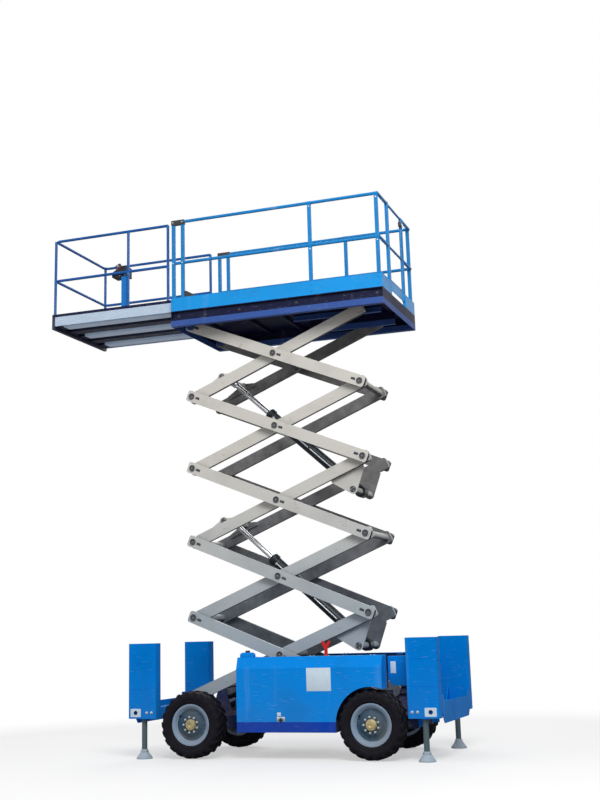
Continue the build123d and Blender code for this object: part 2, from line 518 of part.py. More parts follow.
# ---- side bays -----------------------------------------------------------------------------
WALL_Y = SIDE_PLATE_Y + SIDE_PLATE / 2 + 3
COVER_IN = WALL_Y + 45
HINGE_Y = COVER_IN - 22
HINGE_Z = BAY_TOP - 10
HINGE_PIN = 6.0
HINGE_TUBE = 11.0
HINGE_X = (330.0, -340.0, -1010.0)
HINGE_HALF = 30.0
for name, side in SIDES:
    with BuildPart() as bay:
        # floor, inner wall and end walls of the bay
        with BuildSketch(Plane.XZ.offset(-side * (SIDE_PLATE_Y + SIDE_PLATE / 2))):
            with BuildLine():
                Polyline((BAY_FRONT, BAY_LOW + 20), (BAY_FRONT, BAY_TOP - 20), (BAY_REAR, BAY_TOP - 20),
                         (BAY_REAR, BAY_LOW + 20), (BAY_FRONT, BAY_LOW + 20))
            make_face()
            with Locations((REAR_X, AXLE_Z)):
                Circle(ARCH_RADIUS, mode=Mode.SUBTRACT)
                with Locations((-ARCH_RADIUS / 2, -ARCH_RADIUS / 2)):
                    Rectangle(ARCH_RADIUS, ARCH_RADIUS, mode=Mode.SUBTRACT)
        extrude(amount=-side * 3)
        depth = (side * (SIDE_PLATE_Y + SIDE_PLATE / 2), side * (BAY_OUT - COVER_SHEET - 6))
        block((REAR_X + ARCH_RADIUS + 6, BAY_FRONT - 14), depth, (BAY_LOW, BAY_LOW + 10))
        for x in (BAY_FRONT - 14, REAR_X + ARCH_RADIUS + 10):
            block((x - 5, x), depth, (BAY_LOW, AXLE_Z + 40))
        for x in HINGE_X:
            with Locations(Location((x, side * HINGE_Y, HINGE_Z), (0, 90, 0))):
                Cylinder(HINGE_PIN, 2 * HINGE_HALF + 32)
            for lug in (x - HINGE_HALF - 9, x + HINGE_HALF + 9):
                block((lug - 7, lug + 7), (side * (WALL_Y - 3), side * (HINGE_Y + 8)), (HINGE_Z - 40, HINGE_Z + 8))
    save(bay, f"{name}_tray")

    with BuildPart() as cover:
        with BuildSketch(Plane.YZ.offset(BAY_REAR)):
            with BuildLine():
                Polyline((side * COVER_IN, BAY_TOP), (side * (BAY_OUT - 45), BAY_TOP),
                         (side * BAY_OUT, BAY_TOP - COVER_BEVEL), (side * BAY_OUT, BAY_LOW),
                         (side * COVER_IN, BAY_LOW), (side * COVER_IN, BAY_TOP))
            make_face()
        extrude(amount=BAY_FRONT - BAY_REAR)
        with BuildSketch(Plane.YZ.offset(BAY_REAR + COVER_SHEET)):
            with BuildLine():
                Polyline((side * (COVER_IN - 20), BAY_TOP - COVER_SHEET), (side * (BAY_OUT - 49), BAY_TOP - COVER_SHEET),
                         (side * (BAY_OUT - COVER_SHEET), BAY_TOP - COVER_BEVEL), (side * (BAY_OUT - COVER_SHEET), BAY_LOW - 20),
                         (side * (COVER_IN - 20), BAY_LOW - 20), (side * (COVER_IN - 20), BAY_TOP - COVER_SHEET))
            make_face()
        extrude(amount=BAY_FRONT - BAY_REAR - 2 * COVER_SHEET, mode=Mode.SUBTRACT)
        with BuildSketch(Plane.XZ.offset(-side * (COVER_IN - 40))):
            with Locations((REAR_X, AXLE_Z)):
                Circle(ARCH_RADIUS)
                with Locations((-ARCH_RADIUS / 2, -ARCH_RADIUS / 2)):
                    Rectangle(ARCH_RADIUS, ARCH_RADIUS)
        extrude(amount=-side * 400, mode=Mode.SUBTRACT)
        for x in HINGE_X:
            with Locations(Location((x, side * HINGE_Y, HINGE_Z), (0, 90, 0))):
                Cylinder(HINGE_TUBE, 2 * HINGE_HALF)
            block((x - HINGE_HALF, x + HINGE_HALF), (side * HINGE_Y, side * (COVER_IN + 12)),
                  (HINGE_Z + 4, HINGE_Z + 10))
            with Locations(Location((x, side * HINGE_Y, HINGE_Z), (0, 90, 0))):
                Cylinder(HINGE_PIN + 0.5, 2 * HINGE_HALF + 2, mode=Mode.SUBTRACT)
    save(cover, f"{name}_cover")

with BuildPart() as engine:
    block((-420, 250), (-SIDE_PLATE_Y - SIDE_PLATE / 2 - 20, -BAY_OUT + 40), (BAY_LOW + 10.3, BAY_TOP - 120))
save(engine, "engine_block")
with BuildPart() as tank:
    block((-480, 380), (SIDE_PLATE_Y + SIDE_PLATE / 2 + 20, BAY_OUT - 40), (BAY_LOW + 10.3, BAY_TOP - 300))
save(tank, "fluid_tank")

# ---- platform frame ------------------------------------------------------------------------
CHANNEL = 6.0
SIDE_BEAM = 70.0
HALF_WIDTH = PLATFORM_WIDTH / 2
BEAM_LOW = TOP_PIN_Z + 95
FLOOR = 5.0
TRACK_WEB = INNER_Y - ARM_THICK / 2 - 40
RUNNER = 8.0                   # height of the runners that the extension slides on
LUG_IN = 20.0                  # middle of each pin plate, from the outer arm's face
LUG_OUT = 12.0
EXT_HALF = HALF_WIDTH - 60
RUNNER_Y = EXT_HALF - 137
with BuildPart() as platform:
    block((PLATFORM_REAR, PLATFORM_FRONT), (-HALF_WIDTH, HALF_WIDTH), (DECK_Z - FLOOR, DECK_Z))
    for name, side in SIDES:
        out = side * HALF_WIDTH
        block((PLATFORM_REAR, PLATFORM_FRONT), (out - side * 34, out - side * (34 + CHANNEL)),
              (FRAME_BOTTOM, DECK_Z))
        block((PLATFORM_REAR, PLATFORM_FRONT), (out, out - side * SIDE_BEAM), (FRAME_BOTTOM, FRAME_BOTTOM + SIDE_BEAM))
        block((PLATFORM_REAR, PLATFORM_FRONT), (out, out - side * 40), (DECK_Z - 12, DECK_Z))
        for plate in (OUTER_Y - ARM_THICK / 2 - LUG_IN, OUTER_Y + ARM_THICK / 2 + LUG_OUT):
            with BuildSketch(Plane.XZ.offset(-side * plate)):
                with BuildLine():
                    Polyline((FRONT_PIN_X - 120, BEAM_LOW + 10), (FRONT_PIN_X + 120, BEAM_LOW + 10),
                             (FRONT_PIN_X + 48, TOP_PIN_Z), (FRONT_PIN_X - 48, TOP_PIN_Z),
                             (FRONT_PIN_X - 120, BEAM_LOW + 10))
                make_face()
                with Locations((FRONT_PIN_X, TOP_PIN_Z)):
                    Circle(48)
            extrude(amount=5, both=True)
        bar_y(FRONT_PIN_X, TOP_PIN_Z, (side * (OUTER_Y - ARM_THICK / 2 - LUG_IN - 5),
                                       side * (OUTER_Y + ARM_THICK / 2 + LUG_OUT + 11)), PIN_RADIUS)
        web = (side * (TRACK_WEB - 8), side * TRACK_WEB)
        block((TRACK_REAR, TRACK_FRONT), web, (TOP_PIN_Z - TRACK_OPEN - 8, DECK_Z - FLOOR))
        for low in (TOP_PIN_Z - TRACK_OPEN - 8, TOP_PIN_Z + TRACK_OPEN):
            block((TRACK_REAR, TRACK_FRONT), (web[0], side * (TRACK_WEB + 33)), (low, low + 8))
    for x in (PLATFORM_REAR, PLATFORM_FRONT - CHANNEL):
        block((x, x + CHANNEL), (-HALF_WIDTH, HALF_WIDTH), (FRAME_BOTTOM, DECK_Z))
    for x in (-1180, -760, -340, 80, 500, FRONT_PIN_X - 90, FRONT_PIN_X + 50):
        block((x, x + 40), (-HALF_WIDTH + 38, HALF_WIDTH - 38), (BEAM_LOW, DECK_Z - FLOOR))
    for y in (-RUNNER_Y, 0, RUNNER_Y):
        block((PLATFORM_REAR + 120, PLATFORM_FRONT), (y - 30, y + 30), (DECK_Z, DECK_Z + RUNNER))
save(platform, "platform_frame")

# ---- main guardrails and toeboards ---------------------------------------------------------
RAIL_TUBE = 19.0
POST = 20.0
RAIL_IN = 23.0                 # rail centre line, in from the frame's outer face
MAIN_POSTS = (1225.0, 1106.0, -491.0, -1290.0)
TOP_Z = DECK_Z + RAIL_HEIGHT
MID_Z = DECK_Z + MIDRAIL_HEIGHT
GATE_Y = (-330.0, 330.0)
with BuildPart() as rails:
    for name, side in SIDES:
        y = side * (HALF_WIDTH - RAIL_IN)
        for z in (TOP_Z, MID_Z):
            tube_run([(MAIN_POSTS[0], y, z), (MAIN_POSTS[-1], y, z)], RAIL_TUBE)
        for x in MAIN_POSTS:
            block((x - POST, x + POST), (y - 15, y + 15), (DECK_Z, TOP_Z))
        block((PLATFORM_REAR, PLATFORM_FRONT), (side * HALF_WIDTH, side * (HALF_WIDTH - 8)), (DECK_Z, DECK_Z + TOEBOARD))
        x = PLATFORM_REAR + RAIL_IN
        gate = side * GATE_Y[1]
        for z in (TOP_Z, MID_Z):
            tube_run([(x, side * (HALF_WIDTH - RAIL_IN), z), (x, gate, z)], RAIL_TUBE)
        block((x - 15, x + 15), (gate - 15, gate + 15), (DECK_Z, TOP_Z))
        block((PLATFORM_REAR, PLATFORM_REAR + 8), (side * HALF_WIDTH, gate - 15 * side), (DECK_Z, DECK_Z + TOEBOARD))
    x = PLATFORM_REAR + RAIL_IN
    hinge = GATE_Y[1] - 38
    for z, reach in ((TOP_Z + 18, -30), (DECK_Z + 63, 30)):
        block((x - 12, x + 12), (hinge - 12, GATE_Y[1] - 10), (z, z + 8))
        bar_z(x, hinge, (z + 4, z + 4 + reach), 8)
save(rails, "platform_rails")

GATE_X = PLATFORM_REAR + RAIL_IN
GATE_HINGE_Y = GATE_Y[1] - 38
GATE_LATCH_Y = GATE_Y[0] + 38
GATE_LOW = DECK_Z + 75
with BuildPart() as gate:
    for z in (TOP_Z, MID_Z):
        tube_run([(GATE_X, GATE_LATCH_Y, z), (GATE_X, GATE_HINGE_Y, z)], 14)
    for y in (GATE_LATCH_Y, GATE_HINGE_Y):
        bar_z(GATE_X, y, (GATE_LOW, TOP_Z + 14), 16)
    block((GATE_X - 4, GATE_X + 4), (GATE_LATCH_Y, GATE_HINGE_Y), (GATE_LOW, DECK_Z + TOEBOARD + 40))
    bar_z(GATE_X, GATE_HINGE_Y, (GATE_LOW - 10, TOP_Z + 30), 8.5, Mode.SUBTRACT)
save(gate, "entrance_gate")

# ---- sliding deck extension ----------------------------------------------------------------
EXT_FRONT = PLATFORM_FRONT + EXTENSION_REACH
EXT_REAR = EXT_FRONT - EXTENSION_LENGTH
PLANK = 40.0
PLANK_WIDTH = 150.0
EXT_LOW = DECK_Z + RUNNER + 0.3
EXT_Z = EXT_LOW + PLANK + 5
PLANKS = 5
with BuildPart() as ext:
    block((EXT_REAR, EXT_FRONT), (-EXT_HALF, EXT_HALF), (EXT_Z - 5, EXT_Z))
    for plank in range(PLANKS):
        y = RUNNER_Y * (2 * plank / (PLANKS - 1) - 1)
        block((EXT_REAR, EXT_FRONT), (y - PLANK_WIDTH / 2, y + PLANK_WIDTH / 2), (EXT_LOW, EXT_Z))
    for name, side in SIDES:
        block((EXT_REAR, EXT_FRONT), (side * EXT_HALF, side * (EXT_HALF - 8)), (EXT_LOW, EXT_LOW + TOEBOARD - 10))
    block((EXT_FRONT - 40, EXT_FRONT), (-EXT_HALF, EXT_HALF), (EXT_LOW - 36, EXT_Z))
    block((EXT_FRONT - 8, EXT_FRONT), (-EXT_HALF, EXT_HALF), (EXT_LOW - 36, EXT_LOW + TOEBOARD - 10))
save(ext, "extension_deck")

EXT_POSTS = (EXT_FRONT - 26, 1862.0, 1330.0)
SILL_Z = EXT_LOW + TOEBOARD - 40
with BuildPart() as ext_rails:
    y = EXT_HALF - 26
    for z in (TOP_Z, MID_Z):
        tube_run([(EXT_POSTS[-1], -y, z), (EXT_POSTS[0], -y, z), (EXT_POSTS[0], y, z), (EXT_POSTS[-1], y, z)], RAIL_TUBE - 2)
    for side in (1, -1):
        for x in EXT_POSTS:
            bar_z(x, side * y, (EXT_Z, TOP_Z), RAIL_TUBE - 2)
        block((EXT_REAR + 40, EXT_FRONT - 8), (side * (EXT_HALF - 8), side * (EXT_HALF - 40)),
              (SILL_Z, SILL_Z + 30))
save(ext_rails, "extension_rails")

DESK_X = 1905.0
DESK_Z = MID_Z - 40
with BuildPart() as console:
    with BuildSketch(Plane.XZ.offset(-(EXT_HALF - 125))):
        with BuildLine():
            Polyline((DESK_X, DESK_Z), (DESK_X + 190, DESK_Z), (DESK_X + 190, DESK_Z + 60),
                     (DESK_X + 60, DESK_Z + 130), (DESK_X, DESK_Z + 130), (DESK_X, DESK_Z))
        make_face()
    extrude(amount=80, both=True)
    block((DESK_X - 30, DESK_X + 60), (EXT_HALF - 72, EXT_HALF - 45), (EXT_Z, DESK_Z + 10))
    block((DESK_X - 30, DESK_X + 60), (EXT_HALF - 120, EXT_HALF - 45), (EXT_Z, EXT_Z + 8))
save(console, "control_box")

# ---- safety prop ---------------------------------------------------------------------------
PROP_X = -470.0
PROP_TOP = 1215.0
with BuildPart() as prop:
    with BuildSketch(Plane.XZ.offset(-SIDE_PLATE_Y)):
        with BuildLine():
            Polyline((PROP_X - 22, PLATE_TOP), (PROP_X + 22, PLATE_TOP), (PROP_X + 18, PROP_TOP - 90),
                     (PROP_X + 52, PROP_TOP - 20), (PROP_X + 34, PROP_TOP), (PROP_X, PROP_TOP - 48),
                     (PROP_X - 34, PROP_TOP), (PROP_X - 52, PROP_TOP - 20), (PROP_X - 18, PROP_TOP - 90),
                     (PROP_X - 22, PLATE_TOP))
        make_face()
    extrude(amount=SIDE_PLATE / 2, both=True)
save(prop, "safety_prop")
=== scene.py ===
"""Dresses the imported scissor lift: finishes on its CAD nodes, detailed pieces, light and camera."""

import logging
import math
from dataclasses import dataclass, field
from enum import Enum
from typing import Any, Iterable, Optional, Sequence, Union

import bmesh
import bpy
from mathutils import Matrix, Vector


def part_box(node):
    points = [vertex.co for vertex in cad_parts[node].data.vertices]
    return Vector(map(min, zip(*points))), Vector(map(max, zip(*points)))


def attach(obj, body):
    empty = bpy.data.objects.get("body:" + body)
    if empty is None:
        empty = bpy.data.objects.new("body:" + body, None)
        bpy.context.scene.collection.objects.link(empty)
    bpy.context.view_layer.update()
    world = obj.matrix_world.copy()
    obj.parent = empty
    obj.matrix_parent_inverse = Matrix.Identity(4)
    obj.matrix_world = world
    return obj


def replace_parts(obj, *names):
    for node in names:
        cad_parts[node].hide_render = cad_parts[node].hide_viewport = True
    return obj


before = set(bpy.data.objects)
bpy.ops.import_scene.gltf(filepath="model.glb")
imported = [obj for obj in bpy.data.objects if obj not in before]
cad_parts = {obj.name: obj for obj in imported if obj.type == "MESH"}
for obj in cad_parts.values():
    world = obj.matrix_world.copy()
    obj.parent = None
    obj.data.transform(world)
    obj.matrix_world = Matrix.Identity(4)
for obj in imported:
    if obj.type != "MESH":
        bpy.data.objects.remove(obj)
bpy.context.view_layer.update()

LOG = logging.getLogger("scissor_lift")
Colour = tuple[float, float, float]
Pair = tuple[float, float]
Sizes = tuple[float, ...]
Profile = tuple[Pair, ...]
Point = Union[Vector, Sequence[float]]
X_AXIS, Y_AXIS, Z_AXIS = Vector((1, 0, 0)), Vector((0, 1, 0)), Vector((0, 0, 1))
ALIKE = (1.0, 1.0, 1.0)
SHARP_ANGLE = math.radians(32)
WELD = 1e-6
# A bolt's sizes, as shares of the width across its corners, and its washer's rounding.
WASHER_RADIUS, WASHER_HEIGHT, HEAD_HEIGHT, HEAD_EDGE = 0.78, 0.10, 0.36, 0.06
WASHER_EDGE = 0.0004
# The chequered sheets' lozenges: the way from one to the next, then the sizes of each.
LOZENGE_PITCH, LOZENGE_FOOT, LOZENGE_TOP, LOZENGE_HEIGHT = 0.034, 0.0135, 0.008, 0.0016
LOZENGE_SQUEEZE, LOZENGE_RISE = 0.36, 0.0004


def shade(*display: int) -> Colour:
    """Turns a display colour, with parts from 0 to 255, into linear light."""
    shares = (value / 255 for value in display)
    return tuple(s / 12.92 if s <= 0.04045 else ((s + 0.055) / 1.055) ** 2.4 for s in shares)


def loop(*sizes: float) -> Profile:
    """Pairs up a profile's places along its axis and its radii, from millimetres in turn."""
    return tuple((along / 1000, out / 1000) for along, out in zip(sizes[::2], sizes[1::2]))


def ray(turn: float) -> Vector:
    """Gives the direction in a side view at a turn from forwards to upwards, in radians."""
    return Vector((math.cos(turn), 0, math.sin(turn)))


def circle(count: int, start: float = 0.0) -> list[float]:
    """Shares a full turn into angles, the first at a number of steps from zero."""
    return [2 * math.pi * (number + start) / count for number in range(count)]


def rectangle(middle: Vector, along: Vector, across: Vector) -> list[Vector]:
    """Gives a rectangle's corners from its middle and half of each side."""
    return [middle + along * a + across * b for a, b in ((-1, -1), (1, -1), (1, 1), (-1, 1))]


def verts_of(geometry: Iterable[Any]) -> list[bmesh.types.BMVert]:
    """Picks the vertices out of what an operator gives."""
    return [item for item in geometry if isinstance(item, bmesh.types.BMVert)]


def place_in_scene(name: str, data: Any) -> bpy.types.Object:
    """Makes an object of its data and links it to the scene.

    Args:
        name: The object's name.
        data: Its mesh, lamp or camera.

    Returns:
        The object, at the origin.
    """
    made = bpy.data.objects.new(name, data)
    bpy.context.scene.collection.objects.link(made)
    return made


class Way(Enum):
    """A way out from the machine's middle, with the sign of its axis."""

    def __str__(self) -> str:
        """The name that pieces bear."""
        return self.name.lower()


class Side(Way):
    """Sides of the machine, along Y."""

    LEFT = 1
    RIGHT = -1

    @property
    def out(self) -> Vector:
        """Straight out on this side."""
        return Y_AXIS * self.value


class End(Way):
    """Ends of the machine, along X."""

    FRONT = 1
    REAR = -1


# ---- shader maths ----


class Socket:
    """A node's output that takes part in shader maths through Python's operators."""

    def __init__(self, graph: "Graph", link: Optional[bpy.types.NodeSocket]) -> None:
        """Wraps one output of a graph."""
        self.graph, self.link = graph, link

    def __add__(self, other: "Value") -> "Socket":
        """Gives self plus other."""
        return self.graph.maths("ADD", self, other)

    def __sub__(self, other: "Value") -> "Socket":
        """Gives self minus other."""
        return self.graph.maths("SUBTRACT", self, other)

    def __rsub__(self, other: "Value") -> "Socket":
        """Gives other minus self."""
        return self.graph.maths("SUBTRACT", other, self)

    def __mul__(self, other: "Value") -> "Socket":
        """Gives self times other."""
        return self.graph.maths("MULTIPLY", self, other)

    def __gt__(self, other: "Value") -> "Socket":
        """Gives one where self is above other."""
        return self.graph.maths("GREATER_THAN", self, other)

    def __lt__(self, other: "Value") -> "Socket":
        """Gives one where self is below other."""
        return self.graph.maths("LESS_THAN", self, other)

    __radd__ = __add__
    __rmul__ = __mul__

    def between(self, low: float, high: float) -> "Socket":
        """Maps self from low..high to 0..1, eased at both ends."""
        inputs = {"Value": self, "From Min": low, "From Max": high}
        return self.graph.node("ShaderNodeMapRange", inputs, interpolation_type="SMOOTHSTEP")


Value = Union[Socket, float, int, Sequence[float]]


class Graph:
    """The node tree of a new material or world."""

    def __init__(self, owner: Union[bpy.types.Material, bpy.types.World]) -> None:
        """Starts an empty tree.

        Args:
            owner: The material or world.
        """
        self.owner = owner
        owner.use_nodes = True
        self.tree = owner.node_tree
        self.tree.nodes.clear()

    def node(self, kind: str, inputs: Optional[dict[Any, Value]] = None, outlet: Any = 0,
             **settings: Any) -> Socket:
        """Adds one node.

        Args:
            kind: The node's type.
            inputs: Values or links of its inputs, by name or number.
            outlet: The output to give, by name or number.
            **settings: The node's own settings.

        Returns:
            The chosen output, which is empty on a node that has none.
        """
        made = self.tree.nodes.new(kind)
        for key, value in settings.items():
            setattr(made, key, value)
        for key, value in (inputs or {}).items():
            self.plug(made.inputs[key], value)
        return Socket(self, made.outputs[outlet] if made.outputs else None)

    def plug(self, target: bpy.types.NodeSocket, value: Value) -> None:
        """Links or sets one input.

        Args:
            target: The input.
            value: A socket to link, or a number, colour or vector to set.
        """
        if isinstance(value, Socket):
            self.tree.links.new(value.link, target)
        elif isinstance(value, (int, float)):
            target.default_value = value
        else:
            opaque = len(target.default_value) == 4 and len(value) == 3
            target.default_value = (*value, 1.0) if opaque else tuple(value)

    def maths(self, operation: str, first: Value, second: Value) -> Socket:
        """Gives the result of a Math node."""
        return self.node("ShaderNodeMath", {0: first, 1: second}, operation=operation)

    def highest(self, first: Value, second: Value) -> Socket:
        """Gives the higher of two values."""
        return self.maths("MAXIMUM", first, second)

    def place(self, scale: Point = ALIKE) -> Socket:
        """Gives the piece's own coordinates in metres, stretched along X, Y and Z."""
        own = self.node("ShaderNodeTexCoord", outlet="Object")
        return self.node("ShaderNodeMapping", {"Vector": own, "Scale": scale})

    def axis(self, number: int, of: str = "Object") -> Socket:
        """Gives X, Y or Z, by number, of the piece's own coordinates or of its Normal."""
        whole = self.node("ShaderNodeTexCoord", outlet=of)
        return self.node("ShaderNodeSeparateXYZ", {0: whole}, outlet=number)

    def noise(self, scale: float, detail: float = 3.0, stretch: Point = ALIKE) -> Socket:
        """Gives noise about a half, with its waves per metre, its octaves and its stretch."""
        inputs = {"Vector": self.place(stretch), "Scale": scale, "Detail": detail}
        return self.node("ShaderNodeTexNoise", inputs)

    def cells(self, scale: float, feature: str = "F1") -> Socket:
        """Gives the distance within cells, with their number per metre."""
        inputs = {"Vector": self.place(), "Scale": scale}
        return self.node("ShaderNodeTexVoronoi", inputs, feature=feature)

    def tint(self, first: Value, second: Value, share: Value) -> Socket:
        """Mixes a share of the second colour into the first."""
        return self.node("ShaderNodeMix", {0: share, 6: first, 7: second}, 2, data_type="RGBA")

    def bump(self, height: Socket, strength: float, depth: float) -> Socket:
        """Turns a height pattern, whose 1 stands for a depth in metres, into a normal."""
        inputs = {"Height": height, "Strength": strength, "Distance": depth}
        return self.node("ShaderNodeBump", inputs)

    def principled(self, **sockets: Value) -> Socket:
        """Gives a Principled shader with its sockets' values, named with _ for a space."""
        inputs = {name.replace("_", " "): value for name, value in sockets.items()}
        return self.node("ShaderNodeBsdfPrincipled", inputs)

    def end_in(self, shader: Socket) -> Any:
        """Links a shader to the tree's output.

        Args:
            shader: The shader.

        Returns:
            The finished material or world.
        """
        kind = "World" if isinstance(self.owner, bpy.types.World) else "Material"
        self.node(f"ShaderNodeOutput{kind}", {"Surface": shader})
        return self.owner


# ---- finishes ----


@dataclass(frozen=True)
class Finish:
    """What every finish has: its name and its main colour."""

    name: str
    colour: Colour

    def graph(self) -> Graph:
        """Starts the finish's material."""
        return Graph(bpy.data.materials.new(self.name))


@dataclass(frozen=True)
class Paint(Finish):
    """Sprayed machine paint with fading, dust, scuffs, small chips and optional painted shade."""

    roughness: float = 0.34
    coat: float = 0.0
    dust: float = 0.0
    chips: float = 0.5
    gloss: float = 0.15
    # The next two shares paint shade on undersides and on faces turned to the machine's middle, in a
    # near-black blue.
    soffit_shade: float = 0.0
    inside_shade: float = 0.0
    under: Colour = (0.20, 0.21, 0.22)
    band_top: Optional[float] = None
    band_blend: float = 0.001
    band_colour: Colour = (0.0, 0.0, 0.0)
    faded: Colour = (0.85, 0.88, 0.9)
    soil: Colour = (0.30, 0.26, 0.21)
    painted_shade_colour: Colour = (0.020, 0.024, 0.040)
    scuff: Colour = (0.5, 0.53, 0.55)

    def build(self) -> bpy.types.Material:
        """Makes the material.

        Returns:
            The paint.
        """
        g = self.graph()
        cloud, speck = g.noise(2.2, 4.0), g.noise(75.0)
        streak = g.noise(6.0, 4.0, (1.0, 1.0, 0.12))
        base: Value = self.colour
        if self.band_top is not None:
            above = g.axis(2).between(self.band_top - self.band_blend, self.band_top)
            base = g.tint(self.band_colour, self.colour, above)
        deep = g.tint(base, (0.0, 0.0, 0.0), cloud.between(0.42, 0.78) * 0.14)
        faded = g.tint(deep, self.faded, streak.between(0.58, 0.85) * 0.10)
        low = (1.0 - g.axis(2).between(0.15, 1.1)) * cloud.between(0.30, 0.62) * self.dust
        dusty = g.tint(faded, self.soil, low)
        # Painted shade: undersides and faces turned to the machine's middle are darkened.
        if self.soffit_shade:
            dusty = g.tint(dusty, self.painted_shade_colour, self._painted_shade(g))
        worn = (speck * g.noise(5.0, 2.0)).between(0.405, 0.42) * self.chips
        scratch = g.noise(95.0, 2.0, (0.10, 1.0, 1.0)).between(0.66, 0.70) * self.chips * 0.35
        skin = g.noise(420.0, 2.0) * 0.35 - worn * 0.6 - scratch * 0.3
        return g.end_in(g.principled(
            Base_Color=g.tint(g.tint(dusty, self.scuff, scratch), self.under, worn),
            Roughness=self.roughness + low * 0.4 + cloud.between(0.3, 0.8) * 0.10 + worn * 0.25,
            Coat_Weight=self.coat, Coat_Roughness=0.12, Specular_IOR_Level=self.gloss,
            Normal=g.bump(skin, 0.25, 0.0006)))

    def _painted_shade(self, g: Graph) -> Socket:
        """Finds where shade is painted in: on undersides and on faces turned to the machine's middle.

        Args:
            g: The material's graph.

        Returns:
            The share of painted shade.
        """
        # Downward faces and faces turned to the middle get painted shade, made patchy by a noise.
        under = (g.axis(2, "Normal") * -1.0).between(0.35, 0.75) * self.soffit_shade
        middle = g.axis(1, "Normal") * g.axis(1) * -1.0
        cloud = 0.75 + g.noise(11.0, 4.0) * 0.5
        shade_share = (under + middle.between(0.15, 0.3) * self.inside_shade) * cloud
        return g.maths("MINIMUM", shade_share, 1.0)


@dataclass(frozen=True)
class Steel(Finish):
    """Bare, plated or polished metal with a grain and finger marks."""

    roughness: float
    grain: Colour = ALIKE
    spangle: float = 0.0
    oil: float = 0.0
    metal: float = 1.0
    relief: float = 0.15
    flake: Colour = (0.75, 0.78, 0.8)
    stain: Colour = (0.03, 0.028, 0.025)

    def build(self) -> bpy.types.Material:
        """Makes the material.

        Returns:
            The metal.
        """
        g = self.graph()
        lines, smear, cells = g.noise(190.0, 2.0, self.grain), g.noise(7.0, 4.0), g.cells(55.0)
        worn = tuple(0.62 * part for part in self.colour)
        tone = g.tint(self.colour, worn, lines.between(0.35, 0.75) * 0.35)
        tone = g.tint(tone, self.flake, cells.between(0.1, 0.7) * self.spangle)
        tone = g.tint(tone, self.stain, smear.between(0.55, 0.72) * self.oil)
        metal = self.metal - smear.between(0.55, 0.72) * (self.oil * self.metal)
        tone, metal = self._lay_paint_and_light(g, tone, metal)
        return g.end_in(g.principled(
            Base_Color=tone, Metallic=metal, Normal=g.bump(lines, self.relief, 0.0003),
            Roughness=self.roughness + smear.between(0.35, 0.7) * 0.16 + lines * 0.05))

    def _lay_paint_and_light(self, g: Graph, tone: Socket, metal: Socket) -> tuple[Socket, Socket]:
        """Lays any paint and painted light over the metal; plain metal has none."""
        return tone, metal


@dataclass(frozen=True)
class PlankMetal(Steel):
    """Aluminium planks with a painted nose, painted joists and painted light on their undersides."""

    nose: float = 2.848
    beam: float = 2.765
    sheet: float = 5.0748
    wall: float = 0.62
    joists: Pair = (0.13, 0.40)
    paint: Colour = shade(10, 18, 56)
    # Painted light: a pale blue-white that stands for light on the planks' undersides.
    painted_underside_light: Colour = (0.66, 0.80, 1.0)

    def _lay_paint_and_light(self, g: Graph, tone: Socket, metal: Socket) -> tuple[Socket, Socket]:
        """Paints nose, cross beam and joists, and paints light onto the planks' undersides.

        Args:
            g: The material's graph.
            tone: Colour of the bare metal.
            metal: Its metallic value.

        Returns:
            The colour and the metallic value with the paint and the painted light on.
        """
        along, side = g.axis(0), g.node("ShaderNodeMath", {0: g.axis(1)}, operation="ABSOLUTE")
        below = (g.axis(2) < self.sheet) * (side < self.wall)
        joist = (side > self.joists[0]) * (side < self.joists[1])
        painted = g.highest(along > self.nose, below * g.highest(joist, along > self.beam))
        # Painted light: below the sheet the planks turn pale and non-metal.
        tone = g.tint(g.tint(tone, self.painted_underside_light, below), self.paint, painted)
        return tone, metal * (1.0 - g.highest(painted, below))


@dataclass(frozen=True)
class Rubber(Finish):
    """Tyre rubber, greyed by dust on its tread and low down."""

    dust: float
    soil: Colour = (0.17, 0.145, 0.115)

    def build(self) -> bpy.types.Material:
        """Makes the material.

        Returns:
            The rubber.
        """
        g = self.graph()
        cloud, grain = g.noise(9.0, 5.0), g.noise(260.0)
        low = (1.0 - g.axis(2).between(0.0, 0.42)) * 0.5 + 0.35
        dusty = cloud.between(0.42, 0.75) * low * self.dust
        return g.end_in(g.principled(
            Base_Color=g.tint(self.colour, self.soil, dusty),
            Roughness=0.62 + dusty * 0.35 + grain * 0.08, Specular_IOR_Level=0.12,
            Normal=g.bump(grain + g.noise(40.0) * 2.0, 0.3, 0.0008)))


@dataclass(frozen=True)
class Moulding(Finish):
    """Textured plastic or a smooth blank label."""

    roughness: float
    soil: float = 0.05
    texture: float = 40.0
    depth: float = 0.0001
    dirt: Colour = (0.21, 0.19, 0.16)

    def build(self) -> bpy.types.Material:
        """Makes the material.

        Returns:
            The plastic.
        """
        g = self.graph()
        cloud = g.noise(14.0, 4.0)
        return g.end_in(g.principled(
            Base_Color=g.tint(self.colour, self.dirt, cloud.between(0.5, 0.8) * self.soil),
            Roughness=self.roughness + cloud.between(0.3, 0.8) * 0.12,
            Normal=g.bump(g.cells(self.texture, "SMOOTH_F1"), 0.35, self.depth)))


